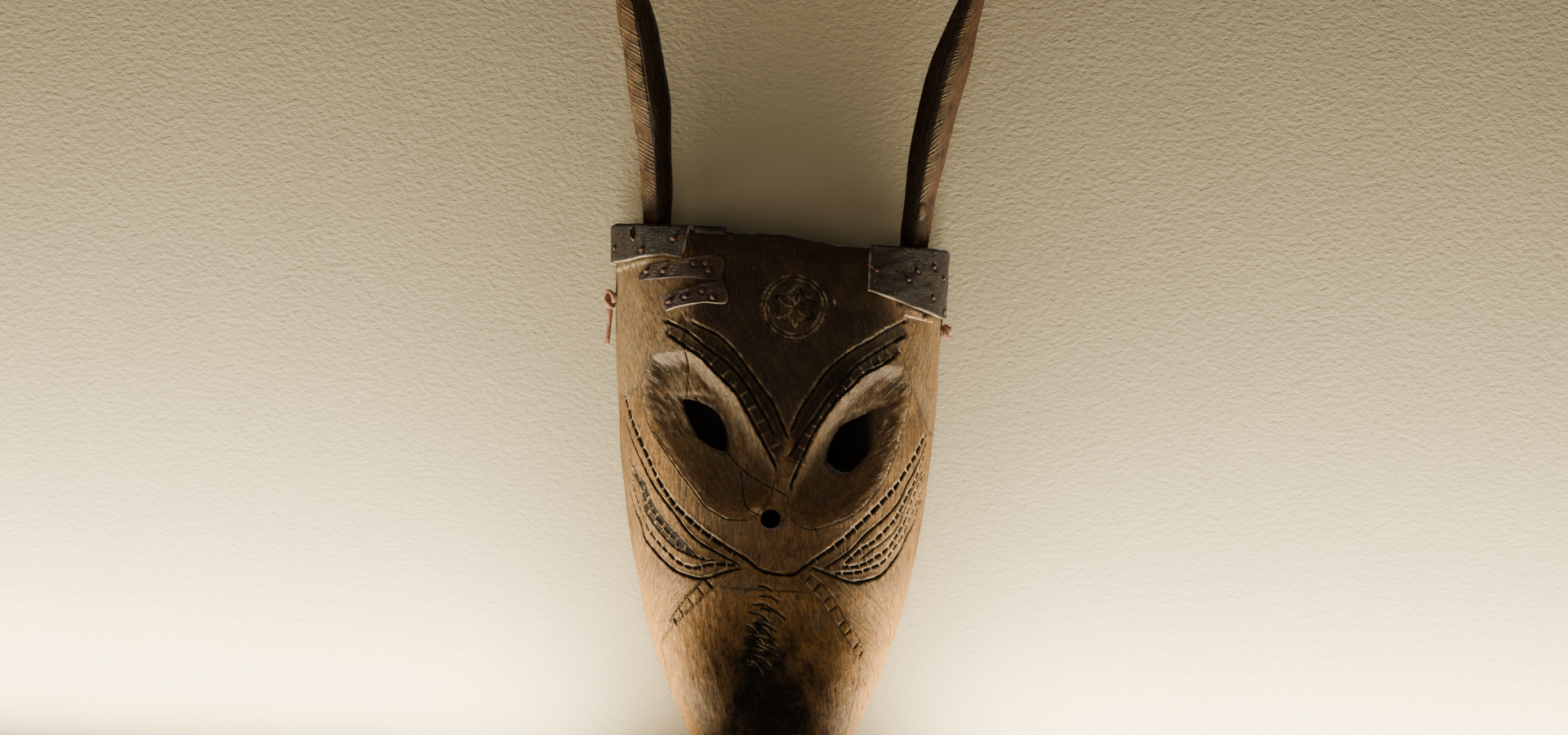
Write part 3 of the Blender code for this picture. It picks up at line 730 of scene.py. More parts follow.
# %% The brow's double V
V_LEFT_UPPER = [
    (-50, -6), (-43, -9), (-34, -13), (-26, -20), (-19, -28), (-11, -38), (-3, -48), (3, -60),
    (6, -66),
]
V_LEFT_MIDDLE = [
    (-64, -6), (-54, -10), (-49, -13), (-38, -21), (-29, -27), (-19, -37), (-11, -49), (-5, -58),
    (-1, -66),
]
V_LEFT_LOWER = [
    (-62, -13), (-51, -20), (-44, -24), (-34, -33), (-24, -42), (-17, -52), (-8, -67), (-2, -77),
    (1, -83),
]
V_RIGHT_UPPER = [(68, 1), (57, -5), (48, -11), (37, -18), (26, -28), (18, -40), (12, -50), (7, -63)]
V_RIGHT_MIDDLE = [
    (68, -7), (58, -13), (49, -19), (40, -26), (33, -35), (26, -44), (20, -54), (15, -61),
    (10, -70), (6, -77),
]
V_RIGHT_LOWER = [
    (63, -18), (55, -24), (46, -29), (39, -36), (31, -44), (25, -53), (19, -63), (16, -71),
    (12, -81), (9, -89), (9, -94),
]
CRACKS = [
    [(-52, 0), (-52.4, -16), (-51.6, -30), (-52, -47)], [(-27, -74), (-19, -82), (-8, -89), (7, -96)],
    [(-19, -84), (-15, -102), (-7, -107)],
]
SOCKET_LEFT = [
    (-74, -42), (-69, -63), (-57, -79), (-49, -89), (-42, -97), (-36, -104), (-29, -108),
    (-24, -110), (-13, -110),
]
SOCKET_RIGHT = [
    (72, -34), (70, -49), (67, -61), (64, -73), (58, -87), (49, -99), (40, -106), (23, -113),
    (14, -112),
]
print("the brow has", len(CRACKS), "cracks near it")

# %% The cheek bands
BAND_LEFT_TOP = [
    (-84, -47), (-79, -60), (-69, -80), (-64, -89), (-54, -103), (-49, -108), (-40, -115),
    (-28, -123), (-17, -129),
]
BAND_LEFT_UNDER = [
    (-82, -62), (-73, -81), (-66, -93), (-52, -110), (-45, -118), (-37, -124), (-27, -129),
    (-14, -135),
]
GRID_LEFT_INNER = [
    (-73, -91), (-69, -95), (-65, -103), (-59, -112), (-52, -119), (-45, -125), (-37, -132),
    (-29, -132),
]
GRID_LEFT_MIDDLE = [
    (-75, -92), (-70.5, -98), (-67, -105), (-62, -113.5), (-57, -120), (-51, -125), (-44, -129.5),
    (-38, -132),
]
GRID_LEFT_OUTER = [
    (-79, -81), (-74, -91), (-72, -99), (-69, -108), (-64, -115), (-57, -123), (-50, -128),
    (-37, -132),
]
LOW_LEFT_TOP = [
    (-77, -92), (-75, -100), (-69, -114), (-64, -122), (-58, -128), (-52, -133), (-46, -136),
    (-40, -137), (-34, -135), (-27, -134), (-17, -134),
]
LOW_LEFT_UNDER = [
    (-78, -98), (-75, -108), (-71, -116), (-68, -124), (-61, -132), (-55, -137), (-49, -140),
    (-41, -142), (-34, -142), (-24, -138), (-14, -135),
]
BAND_RIGHT_TOP = [
    (82, -60), (75, -73), (68, -86), (62, -93), (52, -104), (41, -115), (33, -122), (23, -129.5),
]
BAND_RIGHT_UNDER = [
    (83, -64), (77, -77), (72, -88), (68, -97), (60, -106), (50, -115), (42, -124), (28, -134),
]
SECOND_RIGHT_TOP = [(82, -69), (79, -78), (74, -91), (66, -106), (55, -118), (49, -122), (39, -131)]
SECOND_RIGHT_UNDER = [(81, -80), (76, -89), (73, -97), (67, -111), (61, -118), (54, -123), (48, -128)]
THIRD_RIGHT = [
    (82, -82), (78, -89), (75, -97), (72, -107), (68, -114), (63, -122), (56, -127), (51, -130),
    (45, -132), (38, -132),
]
LOW_RIGHT_TOP = [
    (82, -89), (78, -99), (75, -106), (71, -115), (64, -126), (60, -130), (53, -133), (46, -135),
    (33, -136),
]
LOW_RIGHT_UNDER = [
    (82, -96), (80, -99), (77, -110), (73, -117), (70, -124), (65, -132), (59, -137), (49, -140),
    (42, -140), (33, -137), (21, -133),
]
MOUTH_BAR = [
    (-28, -122.5), (-14, -130), (-6, -135.5), (2, -137.5), (12, -137.5), (17, -134), (24, -128.5),
    (33, -122),
]
LEG_LEFT_OUTER = [(-35, -142), (-39, -148), (-44, -154), (-49, -162), (-52, -168)]
LEG_LEFT_INNER = [(-24, -141), (-33, -150), (-41, -159), (-47, -166), (-49, -170)]
LEG_RIGHT_INNER = [(15, -137), (21, -144), (28, -151), (34, -159), (40, -167), (46, -176), (51, -184)]
LEG_RIGHT_OUTER = [(20, -136), (28, -142), (35, -150), (42, -161), (48, -169), (54, -179)]
print("the bar over the snout has", len(MOUTH_BAR), "places")

# %% The rosette
ROSETTE = np.array((6.0, 4.0))
PETAL_ANGLES = np.radians((80, 148, 212, 275, 338, 18))


def ring_of(radius, centre=ROSETTE, start=0.0, turn=2 * np.pi):
    angle = np.linspace(start, start + turn, max(9, round(abs(turn) * radius / 1.6)))
    return centre + radius * np.stack([np.cos(angle), np.sin(angle)], axis=1)


def petal(angle, reach=12.0, bulge=2.5):
    """A leaf from the centre to reach: a line out and back, bowed by bulge times the half sine."""
    t = np.linspace(0, 1, 9)[:, None]
    out = np.array((math.cos(angle), math.sin(angle)))
    side = np.array((-out[1], out[0]))
    return [ROSETTE + out * reach * t + side * bulge * sign * np.sin(np.pi * t) for sign in (-1, 1)]


rosette_lines = [ring_of(17.0), ring_of(14.6)]
for angle in PETAL_ANGLES:
    rosette_lines += petal(angle)
tips = [ROSETTE + 12 * np.array((math.cos(a), math.sin(a))) for a in PETAL_ANGLES]
for first, second in zip(tips, tips[1:] + tips[:1]):
    sag = ROSETTE + 0.80 * ((first + second) / 2 - ROSETTE)
    rosette_lines.append(np.array([first, sag, second]))
print("the rosette has", len(rosette_lines), "lines")

# %% Short gouges down the snout
GOUGES = 17
rng = np.random.default_rng(12)
gouges = []
for height in np.linspace(-147, -184, GOUGES):
    start = np.array((rng.uniform(-12, -3) + (height + 165) * 0.22, height + rng.uniform(-1.0, 3.0)))
    reach = rng.uniform(6, 15)
    drop = rng.uniform(2.0, 5.5)
    gouges.append(np.array([start, start + (reach * 0.5, -0.15 * drop), start + (reach, -drop)]))
print("the snout has", len(gouges), "short gouges")

# %% The list of cuts
# (line, half width, depth, height of the raised lip, pitch of the breaks or 0), in millimetres
CUTS = [
    (V_LEFT_UPPER, 1.10, 1.3, 0.26, 0), (V_LEFT_MIDDLE, 1.25, 1.6, 0.30, 0),
    (V_LEFT_LOWER, 1.15, 1.5, 0.28, 0),
    (V_RIGHT_UPPER, 1.10, 1.3, 0.26, 0), (V_RIGHT_MIDDLE, 1.20, 1.5, 0.28, 0),
    (V_RIGHT_LOWER, 1.10, 1.4, 0.28, 0),
    (BAND_LEFT_TOP, 1.60, 1.6, 0.30, 6.9), (BAND_LEFT_UNDER, 0.85, 1.3, 0.22, 0),
    (GRID_LEFT_INNER, 0.55, 0.8, 0.20, 0), (GRID_LEFT_MIDDLE, 0.45, 0.6, 0.14, 0),
    (GRID_LEFT_OUTER, 0.60, 0.8, 0.20, 0),
    (LOW_LEFT_TOP, 1.15, 1.4, 0.24, 6.4), (LOW_LEFT_UNDER, 1.05, 1.4, 0.26, 0),
    (BAND_RIGHT_TOP, 1.50, 1.6, 0.30, 6.9), (BAND_RIGHT_UNDER, 0.85, 1.2, 0.22, 0),
    (SECOND_RIGHT_TOP, 1.05, 1.2, 0.20, 5.8), (SECOND_RIGHT_UNDER, 0.60, 0.8, 0.20, 0),
    (THIRD_RIGHT, 0.95, 1.1, 0.20, 5.8),
    (LOW_RIGHT_TOP, 1.10, 1.3, 0.24, 6.4), (LOW_RIGHT_UNDER, 1.05, 1.4, 0.26, 0),
    (MOUTH_BAR, 1.10, 1.6, 0.34, 0),
    (SOCKET_LEFT, 0.50, 0.45, 0.40, 0), (SOCKET_RIGHT, 0.50, 0.45, 0.42, 0),
    (LEG_LEFT_OUTER, 0.50, 0.4, 0.80, 0), (LEG_LEFT_INNER, 0.45, 0.35, 0.75, 0),
    (LEG_RIGHT_INNER, 0.52, 0.4, 0.85, 0), (LEG_RIGHT_OUTER, 0.50, 0.4, 0.85, 0),
    (CRACKS[0], 0.35, 0.9, 0.0, 0), (CRACKS[1], 0.45, 1.0, 0.05, 0), (CRACKS[2], 0.45, 1.0, 0.05, 0),
]
CUTS += [(line, 0.48, 0.6, 0.36, 0) for line in rosette_lines]
gouge_widths = 0.55 + 0.3 * rng.uniform(0, 1, GOUGES)
CUTS += [(line, wide, 0.8, 0.34, 0) for line, wide in zip(gouges, gouge_widths)]
# (upper line, lower line, number of rungs, depth of the sunk strip, half width of a rung, how dark the
# strip is painted, dirt with painted shade)
LADDERS = [
    (V_LEFT_MIDDLE, V_LEFT_LOWER, 12, 1.00, 0.55, 0.55),
    (V_RIGHT_MIDDLE[:-1], V_RIGHT_LOWER[:-1], 14, 1.00, 0.55, 0.60),
    (V_LEFT_UPPER, V_LEFT_MIDDLE, 0, 1.00, 0.5, 0.62),
    (V_RIGHT_UPPER, V_RIGHT_MIDDLE[:-1], 0, 1.00, 0.5, 0.62),
    (GRID_LEFT_INNER, GRID_LEFT_MIDDLE, 11, 0.80, 0.50, 0.95),
    (GRID_LEFT_MIDDLE, GRID_LEFT_OUTER, 11, 0.80, 0.50, 0.85),
    (LEG_LEFT_OUTER, LEG_LEFT_INNER, -5, 0.9, 0.50, 1.0),
    (LEG_RIGHT_INNER, LEG_RIGHT_OUTER, -8, 0.9, 0.50, 1.0),
    (BAND_LEFT_TOP[2:9], BAND_LEFT_UNDER[1:], 0, 0.30, 0.4, 0.10),
    (BAND_RIGHT_TOP[1:8], BAND_RIGHT_UNDER[1:], 0, 0.30, 0.4, 0.10),
    (LOW_LEFT_TOP[1:8], LOW_LEFT_UNDER[1:9], 0, 0.30, 0.4, 0.10),
    (LOW_RIGHT_TOP[1:], LOW_RIGHT_UNDER[1:-1], 0, 0.30, 0.4, 0.10),
]
print(len(CUTS), "cuts and", len(LADDERS), "ladders")

# %% [markdown]
# ## Measuring from the lines
# Every effect of a cut depends on how far a point lies from its line, how far along it, and on
# which side. Those three numbers are worked out on the form itself, so that a cut keeps its width
# as it runs round the side of the face.

# %% Distances to lines and outlines


def evenly(line, count):
    """The smooth curve through line, at count places the same distance apart."""
    curve = rounded_route(np.array(line, float), 1.0)
    run = np.concatenate([[0], np.cumsum(np.linalg.norm(np.diff(curve, axis=0), axis=1))])
    shares = np.linspace(0, run[-1], count)
    return np.stack([np.interp(shares, run, curve[:, k]) for k in range(curve.shape[1])], axis=1)


def line_on_form(line, spacing=1.8):
    length = np.linalg.norm(np.diff(np.array(line, float), axis=0), axis=1).sum()
    return on_front(evenly(line, max(4, round(length / spacing))))


def from_line(points, route, reach):
    """For the points within reach of route: (which, how far off, share along it, +1 above or -1)."""
    low, high = route.min(0) - reach, route.max(0) + reach
    which = np.flatnonzero(((points > low) & (points < high)).all(1))
    start, step = route[:-1], np.diff(route, axis=0)
    run = np.linalg.norm(step, axis=1)
    ahead = points[which][:, None] - start
    t = np.clip((ahead * step).sum(2) / run ** 2, 0, 1)
    gap = ahead - t[..., None] * step
    off = np.linalg.norm(gap, axis=2)
    best = off.argmin(1)
    row = np.arange(len(which))
    off, t, gap = off[row, best], t[row, best], gap[row, best]
    share = (np.concatenate([[0], np.cumsum(run)])[best] + t * run[best]) / run.sum()
    outward = unit(slopes(points[which]))
    upwards = np.cross(outward, step[best])
    side = np.sign((gap * upwards).sum(1) * np.where(upwards[:, 2] < 0, -1, 1))
    near = off < reach
    return which[near], off[near], share[near], side[near]


def soft(value, low, high):
    """0 below low, 1 above high, and a smooth step between."""
    t = np.clip((value - low) / (high - low), 0, 1)
    return t * t * (3 - 2 * t)


def is_inside(points, outline):
    """Whether each point of the front lies in the outline, by counting the edges to its right."""
    x, z = points[:, 0] / MM, points[:, 2] / MM
    ends = np.roll(outline, -1, axis=0)
    found = np.zeros(len(points), bool)
    for (x0, z0), (x1, z1) in zip(outline, ends):
        crosses = (z0 > z) != (z1 > z)
        slope = (x1 - x0) / (z1 - z0) if z1 != z0 else 0.0
        found ^= crosses & (x < x0 + (z - z0) * slope)
    return found & (points[:, 1] < -0.004)


def depth_in(points, outline, reach):
    """How deep in the outline each point lies, up to reach; minus how far outside it lies."""
    outline = np.array(outline, float)
    route = on_front(np.vstack([outline, outline[:1]]))
    off = np.full(len(points), reach)
    which, found, _, _ = from_line(points, route, reach)
    off[which] = found
    return np.where(is_inside(points, outline), off, -off)


def waves(points, size, seed, count=7):
    """A smooth random field from -1 to 1: plane waves about size long, each in its own direction."""
    random = np.random.default_rng(seed)
    ways = unit(random.normal(size=(count, 3))) * 2 * np.pi / (
        size * random.uniform(0.7, 1.5, (count, 1))
    )
    return np.sin(points @ ways.T + random.uniform(0, 2 * np.pi, count)).sum(1) / count ** 0.5 / 1.3


def hashed(*whole):
    """A steady random number from 0 to 1 for each set of whole numbers."""
    mixed = sum(w * k for w, k in zip(whole, (12.9898, 78.233, 37.719)))
    return np.modf(np.abs(np.sin(mixed) * 43758.5453))[0]


def strokes_of(across, along, pitch, length):
    """Shallow gouge strokes laid side by side, 0 to 1 deep: each is a hollow across its pitch, and
    starts and ends at its own place."""
    lane = np.floor(across / pitch + 0.35 * np.sin(along / length * 2.1))
    inside = across / pitch + 0.35 * np.sin(along / length * 2.1) - lane
    beat = along / length + hashed(lane, lane * 0 + 3)
    cell = np.floor(beat)
    hollow = 1 - (2 * inside - 1) ** 2
    window = soft(beat - cell, 0, 0.18) * (1 - soft(beat - cell, 0.72, 1.0))
    return hollow * window * (0.35 + 0.65 * hashed(lane, cell))


print("distances to the lines can be measured")

# %% Outlines of the parts of the face
SOCKET_AREA_LEFT = V_LEFT_LOWER[1:] + [
    (-1, -95), (-8, -106), (-13, -110),
] + SOCKET_LEFT[::-1][1:] + [(-70, -25)]
SOCKET_AREA_RIGHT = V_RIGHT_LOWER[1:] + [(6, -104), (14, -112)] + SOCKET_RIGHT[::-1][1:] + [(68, -24)]
BROW_AREA = [
    (-54, 44), (52, 44), (54, 14), (60, 6), (64, -4),
] + V_RIGHT_UPPER[1:] + V_LEFT_UPPER[::-1] + [(-50, 8), (-52, 20)]
V_AREA_LEFT = V_LEFT_UPPER + V_LEFT_LOWER[::-1]
V_AREA_RIGHT = V_RIGHT_UPPER + V_RIGHT_LOWER[::-1]
TEMPLE_LEFT = [
    (-93, 26), (-60, 26), (-52, 12), (-50, -2), (-62, -13), (-52, -24), (-56, -40), (-74, -42),
    (-86, -50), (-93, -50),
]
TEMPLE_RIGHT = [(93, 4), (76, 4), (66, -4), (60, -22), (62, -34), (72, -36), (84, -60), (93, -60)]
SNOUT_AREA = [
    (-38, -146), (38, -146), (52, -180), (44, -225), (20, -250), (-20, -250), (-46, -225),
    (-56, -180),
]
EYE_LEFT = [
    (-54.8, -48.0), (-44.5, -48.0), (-35.0, -52.0), (-29.0, -59.0), (-26.2, -68.0), (-27.5, -75.0),
    (-38.5, -71.2), (-46.5, -64.5),
]
EYE_RIGHT = [
    (56.8, -47.8), (46.0, -51.2), (35.0, -57.0), (29.0, -66.5), (26.8, -76.5), (30.0, -80.0),
    (37.2, -83.2), (45.0, -79.5), (53.2, -69.0),
]
FACET_LEFT = [(-57, -46), (-48, -44.5), (-38, -46), (-30, -52), (-24, -61), (-22, -70)]
FACET_RIGHT = [(60, -44.5), (50, -47), (40, -51), (31, -57), (25, -66)]
TORN_EDGE = [(-92, 20.5), (-83, 23.5), (-75, 25.5), (-63, 26.6), (-54, 25.0)]
NOSTRILS = [(-14.5, -243), (11.5, -243)]
MOUTH = [(-26, -249), (-17, -255.5), (-6, -258.5), (4, -259), (15, -256.5), (25, -250)]
print("the left eye's outline has", len(EYE_LEFT), "corners")

# %% The run of the blade
# (outline, direction of the strokes as (sideways, up), or the point that they fan out from)
STROKE_RUNS = [
    (BROW_AREA, (0.28, -1.0), None), (TEMPLE_LEFT, (0.80, -1.0), None),
    (TEMPLE_RIGHT, (-0.7, -1.0), None),
    (SNOUT_AREA, (0.25, -1.0), None), (SOCKET_AREA_LEFT, None, (6, -128)),
    (SOCKET_AREA_RIGHT, None, (-10, -132)),
]


def stroke_places(points):
    """For each point, how far across and along the blade's strokes it lies, in metres."""
    around = 0.095 * np.arctan2(points[:, 0] - middle(points[:, 2]), -points[:, 1])
    lean = np.where(around < 0, 0.42, -0.42) * soft(-points[:, 2], 0.12, 0.20)
    across = around - lean * points[:, 2]
    along = points[:, 2] + 0.2 * around
    for outline, way, centre in STROKE_RUNS:
        inside = is_inside(points, np.array(outline, float))
        if way:
            run, rise = np.array(way) / np.hypot(*way)
            across[inside] = (around * -rise + points[:, 2] * run)[inside] + 0.3
            along[inside] = (around * run + points[:, 2] * rise)[inside]
        else:
            out = points[:, [0, 2]] - np.array(centre) * MM
            across[inside] = (0.06 * np.arctan2(out[:, 0], out[:, 1]))[inside] + 0.7
            along[inside] = np.hypot(*out.T)[inside]
    return across, along


print("the blade ran", len(STROKE_RUNS), "ways")

# %% The carving as heights and colour marks
RAIL_GROOVE_DARKNESS = 0.30  # how dark a groove is beside a rail, whose lip stands over 0.7 mm


def worked_cuts(points):
    """Depth in metres and the two colour marks that come with cuts: dark dirt with painted shade in
    the groove, and a painted highlight with wear on its lip. A groove is a rounded V; its lip is a
    small ridge just above it; a ladder sinks its strip except at its rungs."""
    sunk = np.zeros(len(points))
    lips = np.zeros(len(points))
    cut = np.zeros(len(points))
    lip = np.zeros(len(points))
    for upper, lower, rungs, depth, rung_width, strip_darkness in LADDERS:
        first, second = evenly(upper, 70), evenly(lower, 70)
        route = on_front((first + second) / 2)
        gaps = np.linalg.norm(route[:, None] - on_front(first), axis=2).min(axis=1)
        which, off, share, _ = from_line(points, route, float(gaps.max()) * 1.05)
        gap = np.interp(share, np.linspace(0, 1, 70), gaps)
        within = (1 - soft(off, 0.72 * gap, 1.0 * gap)) * soft(share, 0.005, 0.03) * (
            1 - soft(share, 0.97, 0.998)
        )
        run = np.linalg.norm(np.diff(route, axis=0), axis=1).sum()
        if rungs:
            beat = share * abs(rungs) + 0.12 * np.sin(share * 23 + rungs)
            beyond = np.abs(beat - np.floor(beat) - 0.5) * run / abs(rungs)
            rung = 1 - soft(beyond, 0.45 * rung_width * MM, 1.5 * rung_width * MM)
        else:
            rung = np.zeros(len(which))
        hollow = within * rung if rungs < 0 else within * (1 - rung)
        sunk[which] = np.maximum(sunk[which], hollow * depth * MM)
        # The sunk strip is painted dark with dirt and painted shade; its rungs get the pale lip, a
        # painted highlight with wear.
        cut[which] = np.maximum(cut[which], hollow * strip_darkness)
        if rungs > 0:
            lip[which] = np.maximum(
                lip[which], within * rung * 0.5 * soft(waves(points[which], 0.006, 52), -0.8, 0.8),
            )
    for line, wide, depth, raised, pitch in CUTS:
        route = line_on_form(line)
        which, off, share, side = from_line(points, route, (wide + 1.6) * MM)
        run = np.linalg.norm(np.diff(route, axis=0), axis=1).sum()
        waver = 1 + 0.16 * np.sin(share * run * 900) + 0.12 * np.sin(share * run * 410 + 1)
        fade = soft(share, 0.0, 0.03) * (1 - soft(share, 0.97, 1.0)) * 0.8 + 0.2
        t = off / (wide * MM * waver)
        kept_rungs = np.zeros(len(which))
        if pitch:
            beat = share * run / (pitch * MM) + 0.10 * np.sin(share * run * 260)
            beyond = np.abs(beat - np.floor(beat) - 0.5) * pitch
            kept_rungs = 1 - soft(beyond, 0.20, 0.62)
            lip[which] = np.maximum(lip[which], kept_rungs * soft(1.25 - t, 0, 0.3) * 0.75)
        hollow = np.clip(1 - t, 0, 1) ** 0.75 * fade * (1 - 0.85 * kept_rungs)
        sunk[which] = np.maximum(sunk[which], hollow * depth * MM)
        # The groove is painted dark with dirt and painted shade, less so beside a raised rail.
        dark = RAIL_GROOVE_DARKNESS if raised > 0.7 else 1.0
        cut[which] = np.maximum(
            cut[which], soft(1 - t, 0.02, 0.42) * fade * (1 - 0.9 * kept_rungs) * dark,
        )
        beside = np.exp(-(((off / MM - wide * 1.25) / 0.36) ** 2)) * fade
        beside = beside * np.where(side > 0, 1.0, 0.22)
        lips[which] = np.maximum(lips[which], beside * raised * MM)
        # The lip's pale colour, mostly on the upper side, is a painted highlight of the light from
        # below, patchy with wear.
        worn = soft(waves(points[which], 0.009, 51), -0.9, 0.8)
        lip[which] = np.maximum(lip[which], beside * min(1.0, raised * 2.6) * worn)
    return sunk, lips, cut, lip * (1 - 0.85 * cut)


def worked_face(points):
    """How far the carving lifts or sinks each point of the outer form, and its colour marks: stains,
    with painted light and shade among them.
    """
    x, z = points[:, 0] / MM, points[:, 2] / MM
    sunk, lips, cut, lip = worked_cuts(points)
    height = waves(points, 0.026, 1) * 0.35 * MM + waves(points, 0.010, 2) * 0.12 * MM
    socket = np.zeros(len(points))
    for area, line, brow in (
        (SOCKET_AREA_LEFT, SOCKET_LEFT, V_LEFT_LOWER), (SOCKET_AREA_RIGHT, SOCKET_RIGHT, V_RIGHT_LOWER)
    ):
        inward = depth_in(points, area, 0.020) / MM
        from_rim = np.full(len(points), 24.0)
        which, off, _, _ = from_line(points, line_on_form(line, 4), 0.024)
        from_rim[which] = off / MM
        socket = np.maximum(socket, soft(inward, -0.5, 9.0) * (0.12 + 0.88 * soft(from_rim, 0, 20)))
    height -= socket * 5.4 * MM
    nose = np.exp(
        -(((x - 1.5 + (z + 95) * -0.06) / 8.5) ** 2)
    ) * soft(-z, 62, 82) * (1 - soft(-z, 112, 128))
    height += nose * 0.9 * MM
    facet = np.zeros(len(points))
    over_eye = np.zeros(len(points))
    for line in (FACET_LEFT, FACET_RIGHT):
        which, off, _, side = from_line(points, line_on_form(line, 3), 0.016)
        above = (1 - soft(off / MM, 8, 15)) * np.where(side > 0, 1.0, 1 - soft(off / MM, 0.0, 2.0))
        over_eye[which] = np.maximum(over_eye[which], above)
        facet[which] = np.maximum(facet[which], 1 - soft(off / MM, 0.5, 1.9))
    height -= facet * 0.5 * MM
    rim = np.zeros(len(points))
    for eye in (EYE_LEFT, EYE_RIGHT):
        rim = np.maximum(rim, 1 - soft(np.abs(depth_in(points, eye, 0.008)) / MM, 0.2, 1.8))
    height -= rim * 0.55 * MM
    # Soot on the snout, widened and darkened by painted shade above the muzzle's flare.
    soot_and_shade_out = np.hypot((x - 1 + 0.05 * (z + 199)) / 31, (z + 208) / 46) + 0.14 * waves(points, 0.012, 5)
    streak_out = np.hypot(
        (x + 4 - (z + 170) * 0.10) / 7.5, (z + 174) / 17,
    ) + 0.25 * waves(points, 0.006, 6)
    soot_and_shade = np.clip(1 - soft(soot_and_shade_out, 0.15, 1.45) + 0.8 * (1 - soft(streak_out, 0.3, 1.2)), 0, 1)
    height -= np.exp(-np.hypot((x - 2) / 17, (z + 200) / 24) ** 2) * 2.2 * MM
    across, along = stroke_places(points)
    sockets = soft(socket, 0.02, 0.25)
    snout = soft(-z, 140, 152)
    brow = soft(depth_in(points, BROW_AREA, 0.012) / MM, -3, 5)
    rough = 0.10 + 0.34 * sockets + 0.30 * snout + 0.16 * brow
    height -= strokes_of(across, along, 0.0024, 0.017) * rough * MM * (1 - cut)
    height -= strokes_of(across + 0.0007, along * 0.8, 0.0052, 0.034) * 0.35 * MM * snout * (1 - cut)
    for nx, nz in NOSTRILS:
        turn = 0.5 * np.sign(nx)
        u, v = (x - nx) + turn * (z - nz), (z - nz) - turn * (x - nx)
        hole = np.hypot(u / 4.6, v / 7.4) + 0.06 * waves(points, 0.007, 8)
        sinks = (1 - soft(hole, 0.35, 1.05)) * (points[:, 1] < -0.05)
        height -= sinks * 4.6 * MM
        height += np.exp(-(((hole - 1.25) / 0.22) ** 2)) * 0.6 * MM * (points[:, 1] < -0.05)
        # Painted shade darkens the inside of the nostrils.
        cut = np.maximum(cut, sinks * 0.9)
    which, off, _, _ = from_line(points, line_on_form(MOUTH), 0.006)
    height[which] -= np.clip(1 - off / 0.0019, 0, 1) ** 0.7 * 2.4 * MM
    cut[which] = np.maximum(cut[which], soft(1 - off / 0.0019, 0.1, 0.6))
    which, off, _, side = from_line(points, line_on_form(TORN_EDGE), 0.004)
    torn = (1 - soft(off / MM, 0.5, 1.5)) * soft(waves(points[which], 0.004, 9), -1.2, 0.2)
    height[which] += torn * 0.35 * MM
    lip[which] = np.maximum(lip[which], torn * 0.8)
    height += lips - sunk
    chips = [((-9, -105), 3.6, 1.6), ((66.5, 6.5), 3.6, 1.7), ((27, 8), 0.9, 0.9), ((7, -110), 2.0, 0.8)]
    bare = facet * (0.22 + 0.16 * waves(points, 0.007, 11)) * (1 - 0.5 * rim)
    for (cx, cz), wide, tall in chips:
        near = (np.hypot((x - cx) / wide, (z - cz) / tall) < 1.0) & (points[:, 1] < -0.01)
        bare = np.maximum(bare, near * 0.85)
        height -= near * 0.25 * MM
    bare = np.clip(bare, 0, 1)
    grey = np.zeros(len(points))
    for (cx, cz), wide, tall in (((-13, -144), 9, 7), ((27, -161), 8, 6)):
        out = np.hypot((x - cx) / wide, (z - cz) / tall) + 0.2 * waves(points, 0.005, 14)
        grey = np.maximum(grey, 0.55 * (1 - soft(out, 0.5, 1.1)) * (points[:, 1] < -0.02))
    for (cx, cz), wide, deep in (((-73, -153), 1.5, 1.8), ((4, -171), 1.1, 1.6)):
        out = np.hypot(x - cx, z - cz) / wide
        hole = (1 - soft(out, 0.55, 1.1)) * (points[:, 1] < -0.01)
        height -= hole * deep * MM
        # Dirt and painted shade darken the small holes.
        cut = np.maximum(cut, hole)
    out = np.hypot(x + 83, z + 108) / 2.4
    height += (1 - soft(out, 0.2, 1.1)) * (points[:, 1] < -0.004) * 0.9 * MM
    side_on = soft(
        np.abs(x - middle(points[:, 2]) / MM) / np.maximum(half_width(points[:, 2]) / MM, 4), 0.62,
        0.99,
    )
    mottle = waves(points, 0.016, 13)
    strips = [soft(depth_in(points, v, 0.008) / MM, -1.0, 3) for v in (V_AREA_LEFT, V_AREA_RIGHT)]
    v_strip = np.maximum(*strips) * soft(-z, 6, 26)
    sides = [soft(depth_in(points, t, 0.012) / MM, -8, 4) for t in (TEMPLE_LEFT, TEMPLE_RIGHT)]
    temples = np.maximum(sides[0], 0.8 * sides[1])
    scraped = temples * (0.44 + 0.22 * mottle) * (1 - 0.7 * brow)
    scraped = scraped + (0.22 + 0.16 * mottle) * over_eye * sockets + grey
    # A painted glow of the light from below on the lower side edges.
    low_edge_glow = side_on * soft(-z, 95, 215) * (0.80 + 0.2 * mottle)
    # Painted shade in the sockets, on the nose ridge and round the eye rims.
    sunken = np.clip(0.22 * sockets + 0.42 * socket + 0.20 * nose + 0.30 * rim, 0, 0.85)
    dark = np.maximum(0.86 * brow, 0.80 * v_strip) + 0.10 * mottle * brow + 0.5 * soft(z, 30, 44)
    rasped = 0.16 + 0.62 * temples + 0.42 * sockets + 0.32 * snout + 0.14 * brow
    colour_masks = {
        "cut": np.clip(cut, 0, 1),
        "lip": np.clip(lip, 0, 1),
        "soot_and_shade": np.clip(soot_and_shade * (0.92 + 0.1 * mottle), 0, 1),
        "bare": bare,
        "pale": np.clip(scraped, 0, 0.85),
        "golden": np.clip(low_edge_glow + 0.26 * snout * (1 - soot_and_shade), 0, 0.85),
        "shadowed": sunken * (1 - 0.8 * over_eye),
        "blackened_and_shade": np.clip(dark, 0, 0.95),
        "scratchy": np.clip(rasped, 0, 0.9) * (1 - 0.8 * soot_and_shade),
    }
    return height, colour_masks, across, along


print("the carving can be worked out at any point of the form")

